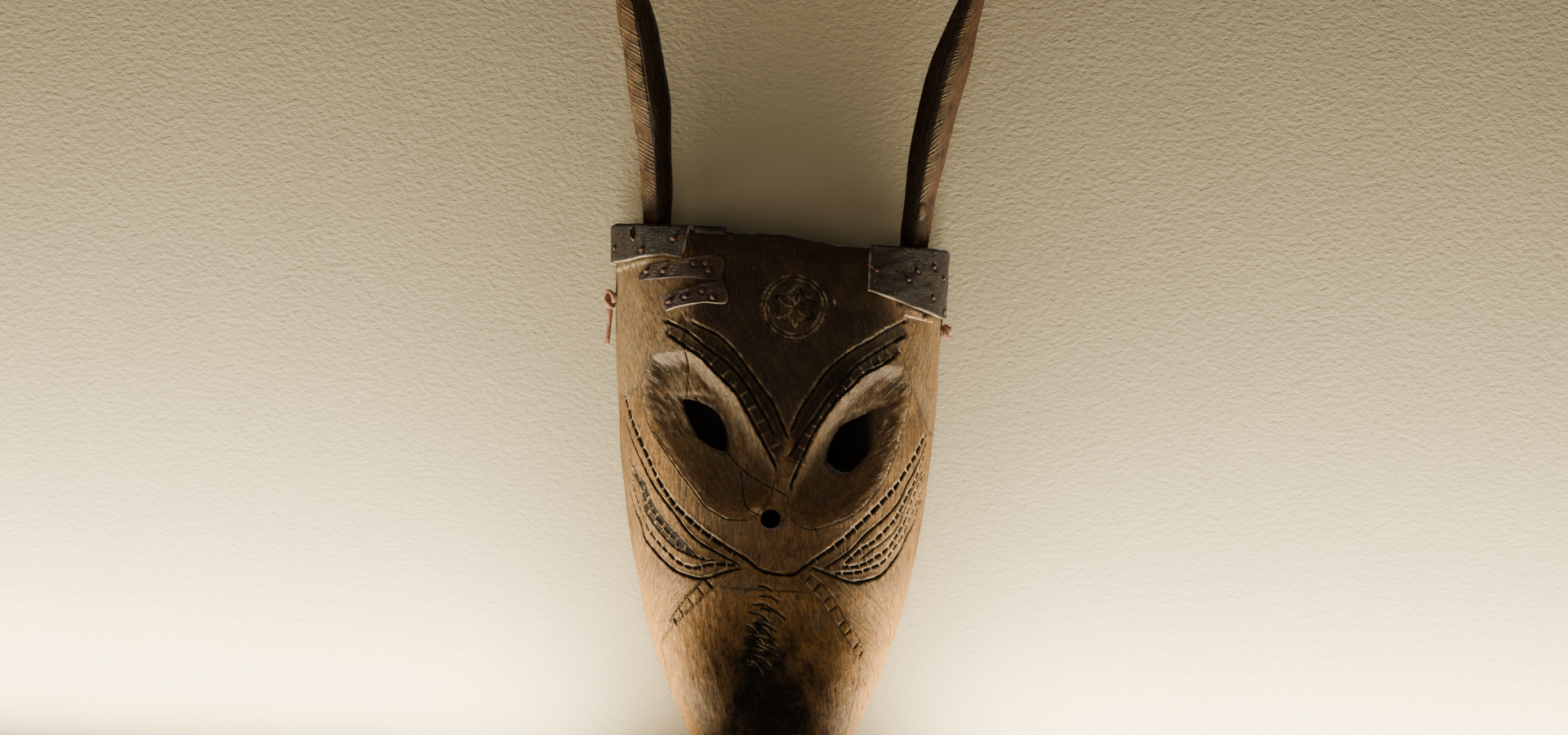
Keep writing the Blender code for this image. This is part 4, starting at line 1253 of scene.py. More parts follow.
# %% [markdown]
# ## Building the face
# One grid covers the block, with its rows spaced evenly down the outline. Fine grooves need points
# four times closer than plain wood does, so only the triangles near a line are split. The openings
# are cut while the block is still smooth, and the carving then moves the points of its skin.

# %% A closed block on one grid
ROWS = 146
ACROSS = 126
BACK_COLUMNS = 34
TOP_ROWS = 18


def even_drops(rows, top, height, width):
    """Heights from top down, spaced evenly along the outline."""
    z = top - height * np.sin(np.pi / 2 * np.linspace(0, 1, 4000))
    run = np.concatenate([[0], np.cumsum(np.hypot(np.diff(z), np.diff(width(z))))])
    return np.interp(np.linspace(0, run[-1], rows), run, z)


def even_angles(columns):
    """Angles round the half round, spaced evenly along it."""
    angle = np.linspace(0, np.pi, 4001)
    ring = half_round(angle, 0.0, 0.088, 0.09)
    run = np.concatenate([[0], np.cumsum(np.linalg.norm(np.diff(ring, axis=0), axis=1))])
    found = np.interp(np.linspace(0, run[-1], columns), run, angle)
    return (found + np.pi - found[::-1]) / 2


def block(rows, columns, back_columns, top_rows, top, height, width, depth, back=0.0):
    """Points and quads of a face-like block, closed at its top, back and chin. Rows run from the
    middle of the top out to its rim and then down; columns run round the front and home along the
    back. Also the heights of the rows and the angles of the columns."""
    drops = even_drops(rows, top, height, width)
    angles = even_angles(columns)
    front = half_round(angles[None, :], drops[:, None], width(drops)[:, None], depth(drops)[:, None])
    home = np.linspace(0, 1, back_columns + 2)[1:-1][None, :, None]
    closing = front[:, -1:] * (1 - home) + front[:, :1] * home
    closing[..., 1] += back
    rings = np.concatenate([front, closing], axis=1)
    centre = np.array((middle(top), back, top))
    shares = np.linspace(0, 1, top_rows + 1)[:-1, None, None]
    lid = centre + (rings[:1] - centre) * shares
    rings = np.concatenate([lid, rings], axis=0)
    count = rings.shape[1]
    faces = grid_faces(len(rings), count, True)
    return rings.reshape(-1, 3), faces, drops, angles


skin, quads, drops, angles = block(
    ROWS, ACROSS, BACK_COLUMNS, TOP_ROWS, FACE_TOP, FACE_HEIGHT, half_width, depth_at
)
columns = ACROSS + BACK_COLUMNS
row_of, column_of = np.divmod(np.arange(len(skin)), columns)
column_of = column_of.astype(float)
row_of = row_of.astype(float) - TOP_ROWS
on_skin = (row_of >= 0) & (column_of < ACROSS)
diagonal = (quads[:, :1] + quads[:, 1:2]) % 2 == 0
one_way, other_way = ([0, 1, 2], [0, 2, 3]), ([0, 1, 3], [1, 2, 3])
halves = [np.where(diagonal, quads[:, a], quads[:, b]) for a, b in zip(one_way, other_way)]
triangles = np.concatenate(halves)
print("the plain block has", len(triangles), "triangles")

# %% Splitting triangles near the lines


def skin_point(row, column):
    """The place on the form at a row and column between those of the grid."""
    z = np.interp(row, np.arange(ROWS), drops)
    angle = np.interp(column, np.arange(ACROSS), angles)
    return half_round(angle, z, half_width(z), depth_at(z))


def split_marked(triangles, ends, marked, middle_of):
    """Splits every triangle at the middle of its marked edges, in two, three or four. Edges are
    marked as a whole, so the triangles on both sides of one agree."""
    pairs = np.stack([triangles, np.roll(triangles, -1, axis=1)], axis=2)
    pairs.sort(axis=2)
    size = int(triangles.max()) + 1
    key = pairs[..., 0].astype(np.int64) * size + pairs[..., 1]
    place = np.clip(np.searchsorted(ends, key), 0, len(ends) - 1)
    has = (ends[place] == key) & marked[place]
    new = np.where(has, middle_of[place], -1)
    count = has.sum(1)
    made = [triangles[count == 0]]
    for number in (1, 2, 3):
        rows = triangles[count == number]
        mids = new[count == number]
        if number < 3:
            wanted = (mids >= 0) if number == 1 else (mids < 0)
            shift = wanted.argmax(1) + (0 if number == 1 else 1)
            order = (shift[:, None] + np.arange(3)) % 3
            rows = np.take_along_axis(rows, order, 1)
            mids = np.take_along_axis(mids, order, 1)
        a, b, c = rows.T
        ab, bc, ca = mids.T
        parts = {
            1: [(a, ab, c), (ab, b, c)],
            2: [(a, ab, bc), (ab, b, bc), (a, bc, c)],
            3: [(a, ab, ca), (ab, b, bc), (ca, bc, c), (ab, bc, ca)],
        }[number]
        made += [np.stack(part, axis=1) for part in parts]
    return np.concatenate(made)


def near_carving(points, reach):
    """Whether each point lies within reach of a cut or in a ladder."""
    near = np.zeros(len(points), bool)
    for line, wide, *_ in CUTS + [(TORN_EDGE, 0.8), (MOUTH, 1.5)]:
        which, off, _, _ = from_line(points, line_on_form(line, 3.0), (wide + reach) * MM)
        near[which] = True
    for upper, lower, *_ in LADDERS:
        first, second = evenly(upper, 30), evenly(lower, 30)
        route = on_front((first + second) / 2)
        gap = np.linalg.norm(route[:, None] - on_front(first), axis=2).min(axis=1)
        which, off, share, _ = from_line(points, route, float(gap.max()) + reach * MM)
        near[which[off < np.interp(share, np.linspace(0, 1, 30), gap) + reach * MM * 0.5]] = True
    return near


def worked_closely(points):
    """Whether each point lies where the wood is tooled all over."""
    close = np.zeros(len(points), bool)
    for area in (SOCKET_AREA_LEFT, SOCKET_AREA_RIGHT, SNOUT_AREA, BROW_AREA):
        close |= is_inside(points, np.array(area, float))
    return close | near_carving(points, 2.2)


def worked_finely(points):
    """Whether each point lies in a cut or right beside one."""
    return near_carving(points, 0.35)


for wanted, name in ((worked_closely, "tooled"), (worked_finely, "carved")):
    edges = np.concatenate([triangles[:, [0, 1]], triangles[:, [1, 2]], triangles[:, [2, 0]]])
    edges.sort(axis=1)
    keys = np.unique(edges[:, 0].astype(np.int64) * len(skin) + edges[:, 1])
    first, second = np.divmod(keys, len(skin))
    free = on_skin[first] & on_skin[second]
    mid_row = (row_of[first] + row_of[second]) / 2
    mid_column = (column_of[first] + column_of[second]) / 2
    mid_point = np.zeros((len(keys), 3))
    mid_point[free] = skin_point(mid_row[free], mid_column[free])
    marked = np.zeros(len(keys), bool)
    marked[free] = wanted(mid_point[free])
    middle_of = np.full(len(keys), -1)
    middle_of[marked] = len(skin) + np.arange(marked.sum())
    keys = first * (int(triangles.max()) + 1) + second
    triangles = split_marked(triangles, keys, marked, middle_of)
    skin = np.vstack([skin, mid_point[marked]])
    row_of = np.concatenate([row_of, mid_row[marked]])
    column_of = np.concatenate([column_of, mid_column[marked]])
    on_skin = np.concatenate([on_skin, np.ones(marked.sum(), bool)])
    print("after splitting the", name, "parts:", len(triangles), "triangles")

# %% [markdown]
# ## The openings
# The hollow follows the outside at about a thumb's width, so that a wearer's face fits. The eye
# holes and the breathing hole go right through to it, and the lace holes through the sides. Each
# is a closed cutter taken away from the block.

# %% Cutters
CROWN = 0.020
CHIN_WALL = 0.020
SIDE_WALL = 0.010
FRONT_WALL = 0.011
HOLLOW_DEPTH = 0.082
LACE_HOLES = ((-1, 0.0045), (1, -0.004))
HORN_FOOT = (0.0708, -0.024, FACE_TOP)
HORN_NAIL_DROP = 0.008
EYE_CUT_FRONT = -0.115
EYE_CUT_BACK = -0.025
PAST_BACK = 0.004
BREATHING_HOLE = (-0.0012, -0.066, -0.109)


def hollow_width(z):
    drop = (FACE_TOP - CROWN - z) / (FACE_HEIGHT - CROWN - CHIN_WALL)
    return (FACE_HALF_WIDTH - SIDE_WALL - FACE_TAPER * drop) * outline_share(drop)


def hollow_depth(z):
    return np.minimum(depth_at(z) - FRONT_WALL, HOLLOW_DEPTH)


def rod(start, way, radius, length, sides=40):
    """Points and faces of a round rod from start along way."""
    way = unit(np.array(way, float))
    side = unit(np.cross(way, (0.3, 0.2, 0.9)))
    up = np.cross(side, way)
    angle = np.linspace(0, 2 * np.pi, sides, endpoint=False)[:, None]
    ring = np.cos(angle) * side + np.sin(angle) * up
    start = np.array(start)
    return prism_of(start + ring * radius, start + way * length + ring * radius)


def prism_of(first, second):
    """Points and faces of the closed solid between two rings."""
    count = len(first)
    points = np.vstack([first, second])
    i = np.arange(count)
    k = (i + 1) % count
    sides = np.stack([i, k, k + count, i + count], axis=1)
    faces = [*sides.tolist(), i[::-1].tolist(), (i + count).tolist()]
    if signed_volume(points, sides) < 0:
        faces = [face[::-1] for face in faces]
    return points, faces


def eye_prism(outline):
    """An eye hole: its outline carried back into the hollow, a little narrower there, with the
    small flats that a knife leaves."""
    ring = rounded_route(np.array(outline, float), 1.5, closed=True)
    ring = ring + 0.22 * np.sin(np.arange(len(ring)) * 1.9)[:, None] * unit(ring - ring.mean(0))
    inner = ring.mean(0) + (ring - ring.mean(0)) * 0.93
    ends = [(ring, EYE_CUT_FRONT), (inner, EYE_CUT_BACK)]
    return prism_of(*[np.stack([r[:, 0] * MM, 0 * r[:, 0] + y, r[:, 1] * MM], axis=1) for r, y in ends])


hollow_points, hollow_quads, _, _ = block(
    84, 80, 24, 16, FACE_TOP - CROWN, FACE_HEIGHT - CROWN - CHIN_WALL,
    hollow_width, hollow_depth, PAST_BACK,
)
hollow_points[hollow_points[:, 1] > -1e-6, 1] = PAST_BACK
cutters = [welded(hollow_points, hollow_quads), eye_prism(EYE_LEFT), eye_prism(EYE_RIGHT)]
cutters.append(rod(BREATHING_HOLE, (0, -1, 0), 0.0053, 0.045))
for side, height in LACE_HOLES:
    cutters.append(rod((side * 0.072, -0.018, height), (side, 0, 0), 0.0028, 0.030, 28))
    nail_mouth = (side * HORN_FOOT[0], 0.002, FACE_TOP - HORN_NAIL_DROP)
    cutters.append(rod(nail_mouth, (0, -1, 0), 0.0034, 0.0040, 32))


def cut_away(mesh, parts):
    """The mesh with every part taken away from it."""
    block_obj = bpy.data.objects.new("uncut", mesh)
    bpy.context.scene.collection.objects.link(block_obj)
    helpers = [block_obj]
    for number, (points, faces) in enumerate(parts):
        faces = list(map(list, faces))
        flat = [[face[0], a, b] for face in faces for a, b in zip(face[1:], face[2:])]
        if signed_volume(np.asarray(points), np.array(flat)) < 0:
            faces = [face[::-1] for face in faces]
        tool = bpy.data.objects.new(f"cutter_{number}", mesh_of(f"cutter_{number}", points, faces))
        bpy.context.scene.collection.objects.link(tool)
        helpers.append(tool)
        cut = block_obj.modifiers.new(tool.name, "BOOLEAN")
        cut.operation = "DIFFERENCE"
        cut.solver = "MANIFOLD"
        cut.object = tool
    bpy.context.view_layer.update()
    ready = block_obj.evaluated_get(bpy.context.evaluated_depsgraph_get())
    result = bpy.data.meshes.new_from_object(ready)
    for helper in helpers:
        bpy.data.objects.remove(helper)
    return result


skin_points, skin_faces = welded(skin, triangles)
if signed_volume(skin_points, np.array(skin_faces)) < 0:
    skin_faces = [face[::-1] for face in skin_faces]
face_mesh = cut_away(mesh_of("block", skin_points, skin_faces), cutters)
print("the block with its openings has", len(face_mesh.polygons), "faces")

# %% Moving the skin by the carving


def off_form(points, width, depth):
    """About how far each point lies off a form, in metres."""
    away = np.abs(level(points, width, depth) - 1)
    return away / np.maximum(np.linalg.norm(slopes(points, width, depth), axis=1), 1.0)


places = np.empty(len(face_mesh.vertices) * 3)
face_mesh.vertices.foreach_get("co", places)
places = places.reshape(-1, 3)
chin = FACE_TOP - FACE_HEIGHT
outer = (off_form(places, half_width, depth_at) < 2e-5) | (places[:, 2] < chin + 2e-4)
lid = places[:, 2] > FACE_TOP - 1e-6
back = places[:, 1] > -1e-6
inner = (off_form(places, hollow_width, hollow_depth) < 3e-5) & ~outer & ~back
roof = (np.abs(places[:, 2] - FACE_TOP + CROWN) < 1e-6) & ~outer & ~back
height, colour_masks, across, along = worked_face(places)
way = unit(slopes(places))
way[lid] = unit(way[lid] * (0.6, 0.6, 0) + (0, 0, 0.8))
near_back = soft(-places[:, 1], 0.0, 0.006)
near_rim = 1 - 0.75 * soft(places[:, 2], FACE_TOP - 0.004, FACE_TOP)
moved = places + (np.where(outer & ~back, height, 0) * near_back * near_rim)[:, None] * way
ripple = waves(places, 0.020, 21) * 0.25 * MM + waves(places, 0.007, 22) * 0.10 * MM
moved[lid, 2] -= 0.35 * MM + np.abs(ripple[lid]) * 1.6
wear = soft(waves(places, 0.018, 23), -0.2, 1.0) * 1.0 * MM
edge_of_lid = lid & outer
moved[edge_of_lid, 2] -= wear[edge_of_lid]
moved[edge_of_lid, 1] += ((0.7 * MM + 0.5 * wear) * soft(-places[:, 1], 0.0, 0.010))[edge_of_lid]
inward = -unit(slopes(places, hollow_width, hollow_depth))
around_inside = 0.08 * np.arctan2(places[:, 0] - middle(places[:, 2]), -places[:, 1])
gouge = strokes_of(around_inside, places[:, 2], 0.0085, 0.042) * 0.7 * MM
gouge = (gouge + waves(places, 0.02, 24) * 0.25 * MM) * soft(-places[:, 1], 0.001, 0.010)
inner_only = inner | roof
moved[inner_only] -= (np.where(inner_only, gouge, 0)[:, None] * inward)[inner_only]
face_mesh.vertices.foreach_set("co", moved.ravel().astype(np.float32))
face_mesh.update()
walls = ~(outer | lid | back | inner | roof)
for name, values in colour_masks.items():
    values = np.where(outer, values, 0.0)
    if name == "blackened_and_shade":
        values = np.where(lid, 0.75, values)
        # Inside the hollow and on the walls of the holes this darkening is painted shade.
        values = np.where(inner_only | walls, 0.55 + 0.2 * waves(places, 0.03, 25), values)
    if name == "golden":
        values = np.where(back, 0.30 + 0.15 * waves(places, 0.02, 26), values)
    if name == "scratchy":
        values = np.where(inner_only, 0.35, values)
    if name == "pale":
        values = np.where(back, 0.25, values)
    store(face_mesh, name, np.clip(values, 0, 1))
across = np.where(inner_only, around_inside, across)
along = np.where(inner_only, places[:, 2], along)
store_strokes(face_mesh, across, along)
face = add_piece("carved_face", face_mesh, "mask", face_wood, ["face_shell"], 55)
face_mesh.calc_loop_triangles()
print("the face has", len(face_mesh.loop_triangles), "triangles")

# %% [markdown]
# ## The horns
# Each horn was split out and shaved with a knife into four long facets, so its section is a diamond
# with soft sides. It swells above the foot, opens outwards like a bow, and ends in a blunt point. A
# round tenon below it sits in the crown. The hatching is where the blade was drawn across the facet.

# %% Horn form
GAP = 0.0003
HORN_HEIGHT = 0.161
HATCH_PITCH = 0.0023
HORN_WIDTHS = [
    (0.0, 0.0150), (0.15, 0.0172), (0.32, 0.0198), (0.5, 0.0226), (0.64, 0.0218), (0.78, 0.0182),
    (0.88, 0.0132), (0.95, 0.0078), (1.0, 0.0022),
]
horn_width = smooth_through(HORN_WIDTHS)


def horn_grid(side, rows=400, columns=104):
    """Rings up the horn's centre line, which leans out by 0.04 h + 0.95 h squared and forward by
    0.08 h. The section follows the cosine and sine raised to 1.35, which gives the diamond."""
    share = np.sin(np.pi / 2 * np.linspace(0, 1, rows))[:, None]
    up = GAP + share * (HORN_HEIGHT - GAP)
    angle = np.linspace(0, 2 * np.pi, columns, endpoint=False)[None, :]
    half = horn_width(share) / 2
    spread_x = signed_power(np.cos(angle), 1.35)
    spread_y = 1.15 * signed_power(np.sin(angle), 1.35)
    front_left = soft(-np.cos(angle), 0.02, 0.25)
    front = soft(-np.sin(angle), 0.0, 0.25)
    across = up + 0.55 * half * angle * (1 if side < 0 else -1)
    drawn = across / HATCH_PITCH + 0.25 * np.sin(up * 190 + angle * 2)
    number = np.floor(drawn)
    strength = soft(hashed(number, number * 0 + side), 0.12, 0.6)
    place = drawn - number
    tick = np.exp(-(((place - 0.45) / 0.17) ** 2)) * strength
    notch = np.exp(-(((place - 0.80) / 0.15) ** 2)) * strength
    fine = strokes_of(half * angle, up, 0.0016, 0.030)
    if side < 0:
        field = front_left * front * (1 - soft(share, 0.70, 0.86)) * soft(share, 0.02, 0.12)
        seam_at = 4.62 + 0.10 * np.sin(share * 9)
        knot_share, knot_angle = 0.52, 4.15
        golden = 0.60 * front_left * front * soft(waves_on(up, angle, 31), -1.2, 1.2)
        black = 0.65 * (1 - front_left) * front
    else:
        ridge = np.exp(-(((angle - 4.75 - 0.12 * np.sin(share * 5)) / 0.42) ** 2))
        field = ridge * soft(share, 0.06, 0.16) * (1 - soft(share, 0.80, 0.92))
        seam_at = 4.05 + 0.2 * share
        knot_share, knot_angle = 0.135, 5.0
        golden = 0.30 * (1 - front_left) * front * soft(waves_on(up, angle, 32), -1.2, 0.8)
        black = 0.70 * front_left * front
    knot = np.hypot((share - knot_share) * HORN_HEIGHT / 0.0045, (angle - knot_angle) * half / 0.0036)
    seam = np.exp(-(((angle - seam_at) * half / 0.00045) ** 2)) * soft(share, 0.25, 0.4) * (
        1 - soft(share, 0.9, 0.97)
    )
    relief = field * (0.25 * tick - 0.45 * notch) * MM - fine * 0.16 * MM - seam * 0.55 * MM
    relief += np.exp(-knot ** 2) * 0.7 * MM - np.exp(-((knot - 1.15) / 0.25) ** 2) * 0.3 * MM
    relief += 0.35 * MM * np.sin(share * 21 + side) * soft(share, 0, 0.1) * (1 - soft(share, 0.85, 1))
    relief *= soft(half, 0.0012, 0.006)
    x = side * (HORN_FOOT[0] + 0.040 * up + 0.95 * up ** 2) + (half + relief) * spread_x
    y = HORN_FOOT[1] - 0.08 * up + (half + relief) * spread_y
    z = np.broadcast_to(HORN_FOOT[2] + up, x.shape)
    cut = np.clip(seam + 0.35 * np.exp(-((knot - 1.15) / 0.3) ** 2) + 0.75 * field * notch, 0, 1)
    lip = np.clip(
        field * tick * 0.8 * soft(waves_on(up, angle, 33), -1.4, 0.8) + 0.12 * np.exp(-knot ** 2 * 3),
        0, 1,
    )
    colour_masks = {
        "golden": golden, "blackened_and_shade": black, "cut": cut, "lip": lip * (1 - 0.6 * cut),
        "scratchy": 0.12 + 0.30 * field,
    }
    return np.stack([x, y, z], axis=-1), {
        k: v + 0 * x for k, v in colour_masks.items()
    }, half * angle, up + 0 * angle


def waves_on(up, angle, seed):
    """A smooth random field over a horn, from its height and the angle round it."""
    points = np.stack(np.broadcast_arrays(up, 0.012 * np.cos(angle), 0.012 * np.sin(angle)), axis=-1)
    return waves(points.reshape(-1, 3), 0.013, seed).reshape(points.shape[:2])


print("a horn stands", HORN_HEIGHT / MM, "mm above the crown")

# %% Building the horns
TENON_RADIUS = 0.0055
TENON_LENGTH = 0.014
TENON_ROWS = [(0.0, -TENON_LENGTH), (TENON_RADIUS, -TENON_LENGTH), (TENON_RADIUS, GAP)]


def for_all_rows(values):
    """Values known on a horn's rings, with 0 on the tenon and the last ring's at the tip."""
    return np.concatenate([np.zeros((len(TENON_ROWS), values.shape[1])), values, values[-1:]]).ravel()


for side_name, side in (("left", -1), ("right", 1)):
    rings, colour_masks, around, up = horn_grid(side)
    columns = rings.shape[1]
    angle = np.linspace(0, 2 * np.pi, columns, endpoint=False)
    circle = np.stack([np.cos(angle), np.sin(angle), 0 * angle], axis=1)
    foot = np.array((side * HORN_FOOT[0], HORN_FOOT[1], HORN_FOOT[2]))
    tenon = np.stack([foot + circle * r + (0, 0, h) for r, h in TENON_ROWS])
    closing = np.broadcast_to(rings[-1].mean(0), (1, columns, 3))
    rows = np.concatenate([tenon, rings, closing])
    quads = grid_faces(len(rows), columns, True)
    points = rows.reshape(-1, 3)
    quads = quads if signed_volume(points, quads) > 0 else quads[:, ::-1]
    places = np.round(points / 1e-7).astype(np.int64)
    _, first = np.unique(places, axis=0, return_index=True)
    mesh = mesh_of("horn", *welded(points, quads))
    for name, values in colour_masks.items():
        store(mesh, name, np.clip(for_all_rows(values)[first], 0, 1))
    store_strokes(mesh, for_all_rows(around)[first], for_all_rows(up)[first])
    add_piece("carved_horn_" + side_name, mesh, "mask", horn_wood, ["horn_" + side_name], 40)

# %% [markdown]
# ## The leather patches
# Where the crown had split, pieces of old harness leather were bent over the rim and nailed. Each is
# a sheet laid on the form: a grid of places, lifted along the wood's own direction outwards, with a
# skin above and below and a narrow cut edge all round. Wrinkles and the dents round the tacks are
# pressed into the upper skin.

# %% Leather sheets
LEATHER = 0.0016
LIFT = 0.00055
TACKS = {
    "left_corner": (-1, [(2.0, 11.0), (33.0, 6.0), (16.5, 12.5)]),
    "left_brow": (-1, [
        (20.0, 24.0), (29.0, 23.5), (45.0, 19.0), (51.0, 18.5), (53.0, 22.5),
        (33.0, 40.0), (41.5, 37.0), (50.0, 33.5), (56.0, 37.0),
    ]),
    "right_corner": (
        1, [(20.0, 13.0), (11.0, 9.0), (5.0, 16.5), (11.0, 30.0), (4.0, 37.0), (25.0, 19.5)],
    ),
    "right_scrap": (1, [(15.0, 41.2)]),
}


def from_edge(side, inward, down):
    """x and z of a place measured in from the side edge and down from the top, in metres."""
    return side * (FACE_HALF_WIDTH - inward) + FACE_SHIFT, FACE_TOP - down


def leather_mesh(name, places, outward, pale_edges, pressed=(), rust=0.0, seed=1):
    """A closed sheet over a grid of places. Its skins lie LIFT and LIFT plus LEATHER outwards, and
    its edge rows are rounded. pale_edges names the sides whose cut edge shows raw fibre."""
    rows, columns = places.shape[:2]
    flat = places.reshape(-1, 3)
    i, j = np.meshgrid(np.arange(rows), np.arange(columns), indexing="ij")
    to_edge = np.minimum(np.minimum(i, rows - 1 - i), np.minimum(j, columns - 1 - j))
    rounding = np.where(to_edge == 0, 0.72, np.where(to_edge == 1, 0.94, 1.0))
    wrinkle = waves(flat, 0.011, seed) * 0.22 * MM + waves(flat, 0.004, seed + 1) * 0.09 * MM
    curl = np.exp(-(to_edge / 2.5) ** 2) * (
        0.25 + 0.25 * waves(flat, 0.014, seed + 2).reshape(rows, columns)
    ) * MM
    dent = np.zeros(rows * columns)
    red = np.zeros(rows * columns)
    for spot in pressed:
        off = np.linalg.norm(flat - spot, axis=1) / MM
        dent = np.maximum(dent, np.exp(-(((off - 2.1) / 0.65) ** 2)))
        red = np.maximum(red, rust * (1 - soft(off, 1.0, 2.0)))
    top = LIFT + LEATHER * rounding + curl + (wrinkle - dent * 0.45 * MM).reshape(rows, columns)
    base = LIFT * np.ones_like(top) + curl * 0.6
    upper = places + outward * top[..., None]
    lower = places + outward * base[..., None]
    skin_quads = grid_faces(rows, columns)
    size = rows * columns
    order = np.concatenate([
        np.arange(columns), np.arange(1, rows) * columns + columns - 1,
        (rows - 1) * columns + np.arange(columns - 2, -1, -1), np.arange(rows - 2, 0, -1) * columns,
    ])
    after = np.roll(order, -1)
    rim_quads = np.stack([order + size, after + size, after, order], axis=1)
    quads = np.concatenate([skin_quads, skin_quads[:, ::-1] + size, rim_quads])
    points = np.concatenate([upper.reshape(-1, 3), lower.reshape(-1, 3)])
    quads = quads if signed_volume(points, quads) > 0 else quads[:, ::-1]
    edge = np.zeros((rows, columns))
    chosen = {"start": (i == 0), "end": (i == rows - 1), "first": (j == 0), "last": (j == columns - 1)}
    for which in pale_edges:
        edge = np.maximum(edge, chosen[which])
    torn = soft(waves(flat, 0.009, seed + 3), -1.3, 0.5).reshape(rows, columns)
    edge = np.clip(edge * torn, 0, 1).ravel()
    mesh = mesh_of(name, points, quads)
    store(mesh, "lip", np.concatenate([edge, edge]))
    store(mesh, "dent", np.concatenate([np.clip(dent * 0.85, 0, 1), dent * 0]))
    store(mesh, "rust", np.concatenate([red, red]))
    return mesh


def on_wood(side, edge_places):
    """Places on the front and the way outwards there, from (inward, down) in metres."""
    x, z = from_edge(side, edge_places[..., 0], edge_places[..., 1])
    places = np.stack([x, front_y(x, z), z], axis=-1)
    return places, unit(slopes(places.reshape(-1, 3))).reshape(places.shape)


def tack_spots(group):
    side, spots = TACKS[group]
    return on_wood(side, np.array(spots) * MM)


print("there are", sum(len(spots) for _, spots in TACKS.values()), "tacks through the patches")

# %% Patches that lie flat
# name: side, tacks, rows, columns, finish, pale edges, rust, then the first and last row
FLAT_PATCHES = {
    "patch_left_brow": (
        -1, "left_brow", 34, 90, brow_leather, ("start",), 0.55,
        [
            (15.5, 27.2), (19.0, 21.5), (29.0, 19.0), (38.0, 19.0), (43.0, 16.0), (59.0, 15.0),
            (60.0, 26.0), (63.5, 39.0), (51.0, 40.0), (39.0, 42.5), (31.5, 45.2),
        ],
        [
            (16.5, 29.2), (26.0, 28.2), (35.0, 27.2), (44.0, 27.0), (52.0, 27.6), (56.6, 28.0),
            (56.8, 28.8), (52.0, 29.6), (44.0, 31.6), (36.0, 34.4), (29.0, 38.0),
        ],
    ),
    "patch_right_scrap": (
        1, "right_scrap", 8, 26, scrap_leather, ("end", "first"), 0.0,
        [(27.0, 35.6), (22.5, 37.0), (18.5, 38.4), (13.0, 40.0), (9.0, 41.2)],
        [(26.2, 41.0), (23.0, 41.8), (20.5, 42.2), (15.0, 43.0), (10.5, 43.6)],
    ),
}
for number, (name, shape) in enumerate(FLAT_PATCHES.items()):
    side, group, rows, count, finish, pale, rust, first, second = shape
    one, two = evenly(np.array(first), count) * MM, evenly(np.array(second), count) * MM
    share = np.linspace(0, 1, rows)[:, None, None]
    places, outward = on_wood(side, one * (1 - share) + two * share)
    spots, _ = tack_spots(group)
    mesh = leather_mesh(name, places, outward, pale, spots, rust, 40 + 5 * number)
    add_piece("nailed_" + name, mesh, "mask", finish, [name], 45)

# %% Patches folded over the rim


def angle_at(side, inward, z):
    """The angle round the form, from its side edge, of a place measured in from that edge."""
    x, _ = from_edge(side, inward, 0)
    across = np.clip(side * (x - middle(z)) / half_width(z), 0, 1)
    return np.arccos(across ** (SQUARENESS / 2))


def folded(side, lower_edge, inner_edge, across, down_rows, top_rows, from_x=None, back=-0.0022):
    """A grid that climbs the front, rounds the rim and runs back over the top. Columns start at the
    side's back edge, or at from_x, and end at the inner edge; the lower edge gives how far down."""
    lower_in, lower_down = np.array(lower_edge).T * MM
    inner_down, inner_in = np.array(inner_edge)[:, ::-1].T * MM
    share = np.linspace(0, 1, across)
    rows = []
    for b in np.linspace(1, 0, down_rows):
        z = FACE_TOP
        for _ in range(4):
            end_angle = angle_at(side, np.interp(FACE_TOP - np.mean(z), inner_down, inner_in), z)
            start = 0.0 if from_x is None else angle_at(side, from_x * MM, z)
            angle = start + share * (end_angle - start)
            turned = angle if side > 0 else np.pi - angle
            x = half_round(turned, z, half_width(z), depth_at(z))[..., 0]
            inward = np.maximum(FACE_HALF_WIDTH - side * (x - FACE_SHIFT), -0.012)
            z = FACE_TOP - b * np.interp(inward, lower_in, lower_down)
        rows.append(half_round(turned, z, half_width(z), depth_at(z)))
    places = np.stack(rows)
    outward = unit(slopes(places.reshape(-1, 3))).reshape(places.shape)
    rim, rim_way = places[-1], outward[-1]
    up = np.array((0.0, 0.0, 1.0))
    bend = np.linspace(0, 1, 6)[1:, None, None] * np.pi / 2
    turning = unit(np.cos(bend) * rim_way + np.sin(bend) * up)
    to_back = np.linspace(0, 1, top_rows)[1:, None, None]
    end = rim.copy()
    end[:, 1] = np.maximum(rim[:, 1], back)
    over = rim * (1 - to_back) + end * to_back
    places = np.concatenate([places, np.broadcast_to(rim, turning.shape), over])
    outward = np.concatenate([outward, turning, np.broadcast_to(up, over.shape)])
    return places, outward


# name: side, tacks, pale edges, seed, then what folded() asks for after the side
FOLDED_PATCHES = {
    "patch_left_corner": (
        -1, "left_corner", ("start", "last"), 60,
        [(-12, 21.0), (9.0, 18.5), (16.0, 16.5), (29.0, 15.0), (38.5, 16.5), (43.5, 16.5)],
        [(43.5, -12.0), (41.5, -1.0), (38.5, 16.5), (38.5, 30.0)], 74, 22, 40,
    ),
    "patch_right_corner": (
        1, "right_corner", ("start", "last"), 70,
        [(-12, 40.0), (4.5, 41.0), (11.5, 39.0), (22.5, 36.0), (34.5, 32.0), (46.3, 28.5), (50, 28.0)],
        [(46.3, -12.0), (46.3, 60.0)], 80, 46, 40,
    ),
    "rim_strip": (
        -1, None, (), 80,
        [(43.0, 2.4), (61.5, 2.8)], [(61.0, -12.0), (61.2, 5.0)], 26, 5, 30, 43.6, -0.028,
    ),
}
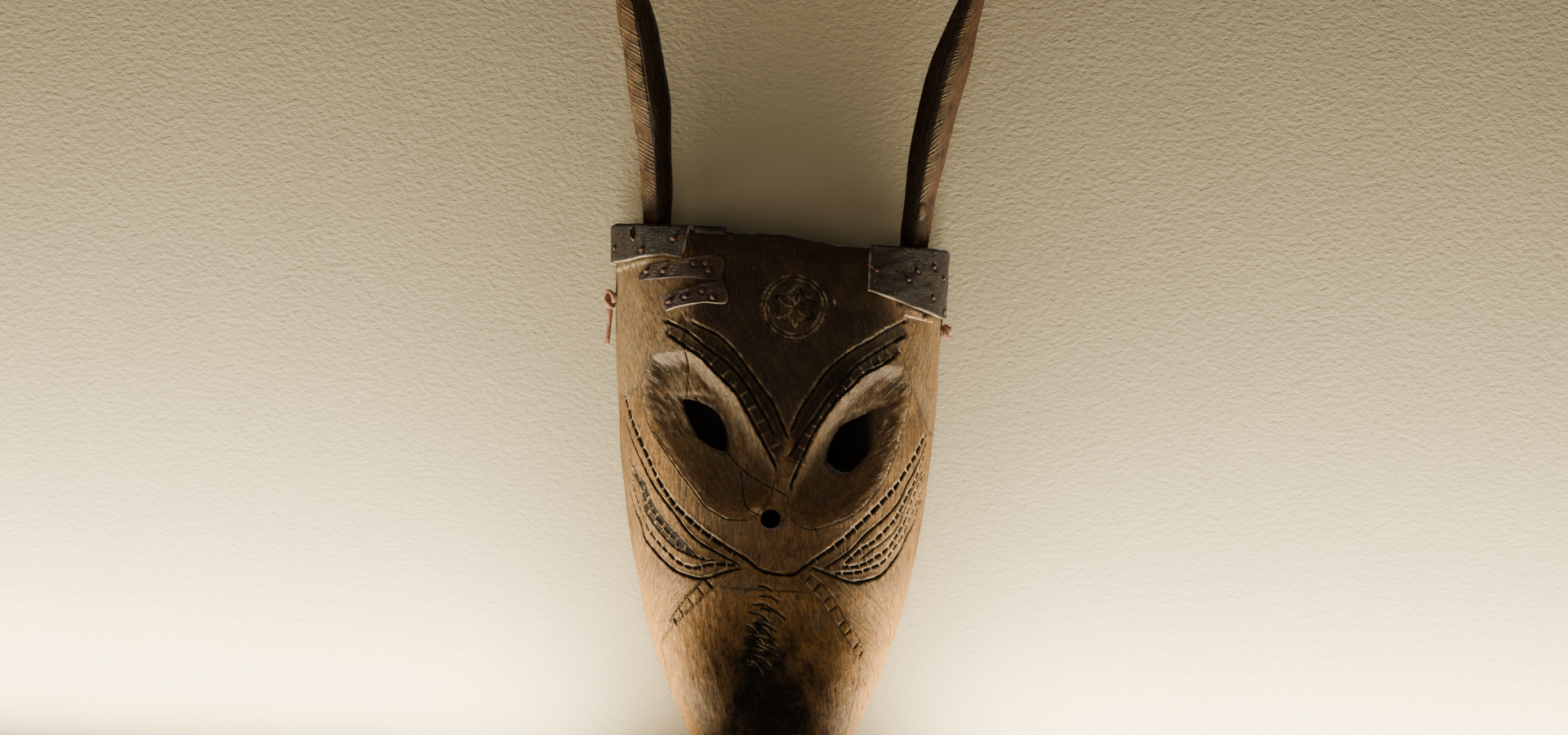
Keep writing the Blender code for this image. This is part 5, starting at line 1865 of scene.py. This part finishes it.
for name, (side, group, pale, seed, *shape) in FOLDED_PATCHES.items():
    places, outward = folded(side, *shape)
    spots = tack_spots(group)[0] if group else ()
    mesh = leather_mesh(name, places, outward, pale, spots, 0.0, seed)
    add_piece("nailed_" + name, mesh, "mask", patch_leather, [name], 45)

# %% [markdown]
# ## Tacks and nails
# The tacks are small wrought tacks with uneven domed heads. Two longer nails were bent over and
# hammered flat against the leather, and two nails from the back hold the horns' tenons.

# %% Turned fasteners
OVER_LEATHER = 0.0004 + LEATHER + GAP


def turned_mesh(name, profile, start, way, seed, sides=28):
    """A profile of (radius, distance along way) turned about way, made uneven by a tenth."""
    random = np.random.default_rng(seed)
    way = unit(np.array(way, float))
    side = unit(np.cross(way, (0.2, 0.31, 0.93)))
    up = np.cross(side, way)
    angle = np.linspace(0, 2 * np.pi, sides, endpoint=False)
    radius, along = np.array(profile, float).T
    uneven = 1 + 0.07 * np.sin(2 * angle + random.uniform(0, 6)) + 0.05 * np.sin(
        3 * angle + random.uniform(0, 6)
    )
    ring = np.cos(angle)[:, None] * side + np.sin(angle)[:, None] * up
    rings = np.array(start) + along[:, None, None] * way + (radius[:, None] * uneven)[..., None] * ring
    points, quads = rings.reshape(-1, 3), grid_faces(len(profile), sides, True)
    quads = quads if signed_volume(points, quads) > 0 else quads[:, ::-1]
    return mesh_of(name, *welded(points, quads))


def add_iron(kind, node, mesh):
    return add_piece(kind + node, mesh, "mask", old_iron, [node], 40)


dome = np.linspace(0, np.pi / 2, 7)
under_head = OVER_LEATHER / MM
TACK_PROFILE = [(0.0, -7.5), (0.25, -7.4), (0.6, -6.5), (0.6, under_head), (1.42, under_head + 0.02)]
TACK_PROFILE += [(1.5 * math.cos(a), under_head + 0.15 + 0.8 * math.sin(a)) for a in dome]
tack_profile = np.array(TACK_PROFILE) * MM
seed = 100
for group in TACKS:
    places, outward = tack_spots(group)
    for number, (place_at, way_out) in enumerate(zip(places, outward), 1):
        seed += 1
        node = f"tack_{group}_{number}"
        mesh = turned_mesh(node, tack_profile, place_at, way_out, seed)
        add_iron("wrought_", node, mesh)
rim_place = (from_edge(-1, 0.052, 0)[0], -0.038, FACE_TOP)
mesh = turned_mesh("tack_rim_strip", tack_profile, rim_place, (0, 0, 1), 150)
add_iron("wrought_", "tack_rim_strip", mesh)
HORN_NAIL = [
    (0, 0.3), (2.2, 0.32), (2.9, 0.6), (3.0, 1.1), (2.7, 1.5),
    (1.25, 1.5), (1.25, 22.0), (0.5, 25.0), (0, 25.3),
]
for side_name, side in (("left", -1), ("right", 1)):
    node = "horn_nail_" + side_name
    start = (side * HORN_FOOT[0], 0.0, FACE_TOP - HORN_NAIL_DROP)
    mesh = turned_mesh(node, np.array(HORN_NAIL) * MM, start, (0, -1, 0), 160 + side)
    add_iron("wrought_", node, mesh)

# %% Nails bent over
NAIL_RADIUS = 0.0009
NAIL_DEPTH = 0.010
# name, side, place of the hole, turn of the bent-over end in degrees, its length
BENT_NAILS = [("left", -1, (12.0, 7.0), -60, 0.006), ("right", 1, (42.0, 16.0), -43, 0.0085)]
for side_name, side, spot, turn, lying in BENT_NAILS:
    places, outward = on_wood(side, np.array([spot]) * MM)
    point, way_out = Vector(places[0]), Vector(outward[0])
    level_way = way_out.cross(Vector((0, 0, 1))).normalized()
    along_way = Matrix.Rotation(math.radians(turn), 3, way_out) @ level_way
    lies_at, bend = OVER_LEATHER + NAIL_RADIUS, 2 * NAIL_RADIUS
    route = [point - way_out * NAIL_DEPTH, point - way_out * NAIL_DEPTH / 2]
    for angle in np.linspace(0, np.pi / 2, 7):
        up = lies_at - bend + bend * math.sin(angle)
        route.append(point + along_way * bend * (1 - math.cos(angle)) + way_out * up)
    route += [
        point + along_way * (bend + (lying - bend) * s) + way_out * lies_at for s in (0.35, 0.7, 1.0)
    ]
    node = "nail_" + side_name
    line = rounded_route([tuple(p) for p in route], 0.0006)
    add_iron("bent_", node, tube_mesh(node, line, NAIL_RADIUS, fuzz=0.12, seed=170 + side))

# %% [markdown]
# ## The room
# The mask hangs before a pale plaster wall, over a pale floor, and is lit warmly from below, which
# is what makes the carving stand out. The wall shows only from the front, so that the hollow can
# be seen from behind. Behind the mask the wall carries a painted shadow, an oval of near black at
# the eyes' height. A wide soft panel in front keeps the shadows open.

# %% Floor and wall
FLOOR_HEIGHT = FACE_TOP - FACE_HEIGHT - 0.002
WALL_Y = 0.0045
ROOM = 3.5


def stage_sheet(name, corners, finish):
    """A flat sheet of the room, which isn't part of the mask."""
    sheet = bpy.data.objects.new(name, mesh_of(name, corners, [[0, 1, 2, 3]]))
    sheet.data.materials.append(finish)
    bpy.context.scene.collection.objects.link(sheet)
    return sheet


def plaster(name, colour, roughness, depth):
    """Pale plaster with a trowelled, sandy surface."""
    finish, tree, shader, place = new_finish(name)
    dirt = effect(tree, grime, Vector=place, Scale=14.0)
    sand = noise(tree, stretched(tree, place, (1.0, 1.0, 1.5), (0.0, 0.5, 0.0)), 330.0, 3.0, 0.55)
    share = times(tree, dirt["Blotch"], 0.22)
    shade = blended(tree, share, colour, tuple(0.86 * c for c in colour))
    wire(tree, shader, shade, roughness, sand, depth, 0.8)
    return finish, tree, shader


floor_finish, _, _ = plaster("pale_floor", (0.74, 0.69, 0.60), 0.8, 0.0002)
floor_corners = [(x * ROOM, y * ROOM, FLOOR_HEIGHT) for x, y in ((-1, -1), (1, -1), (1, 1), (-1, 1))]
stage_sheet("floor", floor_corners, floor_finish)

wall_finish, tree, shader = plaster("wall_plaster", (0.37, 0.31, 0.205), 0.85, 0.0005)
# A painted shadow: behind the mask, an oval of the wall round the eyes' height is painted near black.
place = add_node(tree, "ShaderNodeTexCoord").outputs["Object"]
behind_mask = stretched(tree, place, (1 / 0.064, 0.0, 1 / 0.105))
kind = "ShaderNodeVectorMath"
at_eyes = add_node(tree, kind, {0: behind_mask, 1: (0.0, 0.0, 0.72)}, operation="ADD").outputs[0]
from_eyes = add_node(tree, kind, {0: at_eyes}, operation="LENGTH").outputs["Value"]
unlit = between(tree, from_eyes, 0.8, 1.0, 1.0, 0.0)
lit_colour = shader.inputs["Base Color"].links[0].from_socket
shade = blended(tree, unlit, lit_colour, (0.012, 0.008, 0.006))
tree.links.new(shade, shader.inputs["Base Color"])
see_through = add_node(tree, "ShaderNodeBsdfTransparent").outputs[0]
from_behind = add_node(tree, "ShaderNodeNewGeometry").outputs["Backfacing"]
either = add_node(tree, "ShaderNodeMixShader", {0: from_behind, 1: shader.outputs[0], 2: see_through})
tree.links.new(either.outputs[0], tree.nodes["Material Output"].inputs[0])
heights = (FLOOR_HEIGHT, FLOOR_HEIGHT, ROOM, ROOM)
wall_corners = [(x * ROOM, WALL_Y, z) for x, z in zip((-1, 1, 1, -1), heights)]
wall = stage_sheet("wall", wall_corners, wall_finish)
wall.visible_shadow = False
wall.visible_diffuse = False
wall.visible_glossy = False
print("the floor lies at", round(FLOOR_HEIGHT / MM), "mm")

# %% Light
world = bpy.data.worlds.new("room")
bpy.context.scene.world = world
world.use_nodes = True
background = world.node_tree.nodes["Background"].inputs
background["Color"].default_value = (1.0, 0.88, 0.70, 1.0)
background["Strength"].default_value = 0.035
WALL_SPREAD = math.radians(152)
# name, place, what it points at, width and height, watts, colour
LAMPS = [
    ("low_left", (-0.60, -0.62, -0.24), (-0.03, -0.05, -0.06), (0.45, 0.25), 1.5, (1.0, 0.86, 0.62)),
    ("low_right", (0.64, -0.60, -0.22), (0.03, -0.05, -0.06), (0.45, 0.25), 0.8, (1.0, 0.84, 0.60)),
    ("front", (-0.15, -1.20, -0.10), (0.0, -0.08, -0.08), (0.50, 0.30), 2.6, (1.0, 0.87, 0.66)),
    ("front_panel", (0.10, -1.30, 1.25), (0.0, 0.0, -0.03), (1.00, 0.60), 1.6, (1.0, 0.93, 0.82)),
    ("wall_left", (-0.38, -0.060, -0.262), (-0.38, 0.0, 0.00), (0.56, 0.05), 9.0, (1.0, 0.92, 0.68)),
    ("wall_right", (0.38, -0.060, -0.262), (0.38, 0.0, 0.00), (0.56, 0.05), 9.0, (1.0, 0.92, 0.68)),
    ("behind", (0.3, 1.5, 0.5), (0.0, 0.0, -0.05), (1.20, 1.00), 2.8, (1.0, 0.95, 0.88)),
]
for name, place, target, size, watts, colour in LAMPS:
    lamp = bpy.data.lights.new(name, "AREA")
    lamp.shape = "RECTANGLE"
    lamp.size, lamp.size_y = size
    lamp.energy = watts
    lamp.color = colour
    lamp.spread = WALL_SPREAD if name.startswith("wall") else math.pi
    obj = bpy.data.objects.new(name, lamp)
    bpy.context.scene.collection.objects.link(obj)
    face_towards(obj, place, target)
    obj.visible_camera = False
print("the room has", len(LAMPS), "lamps")
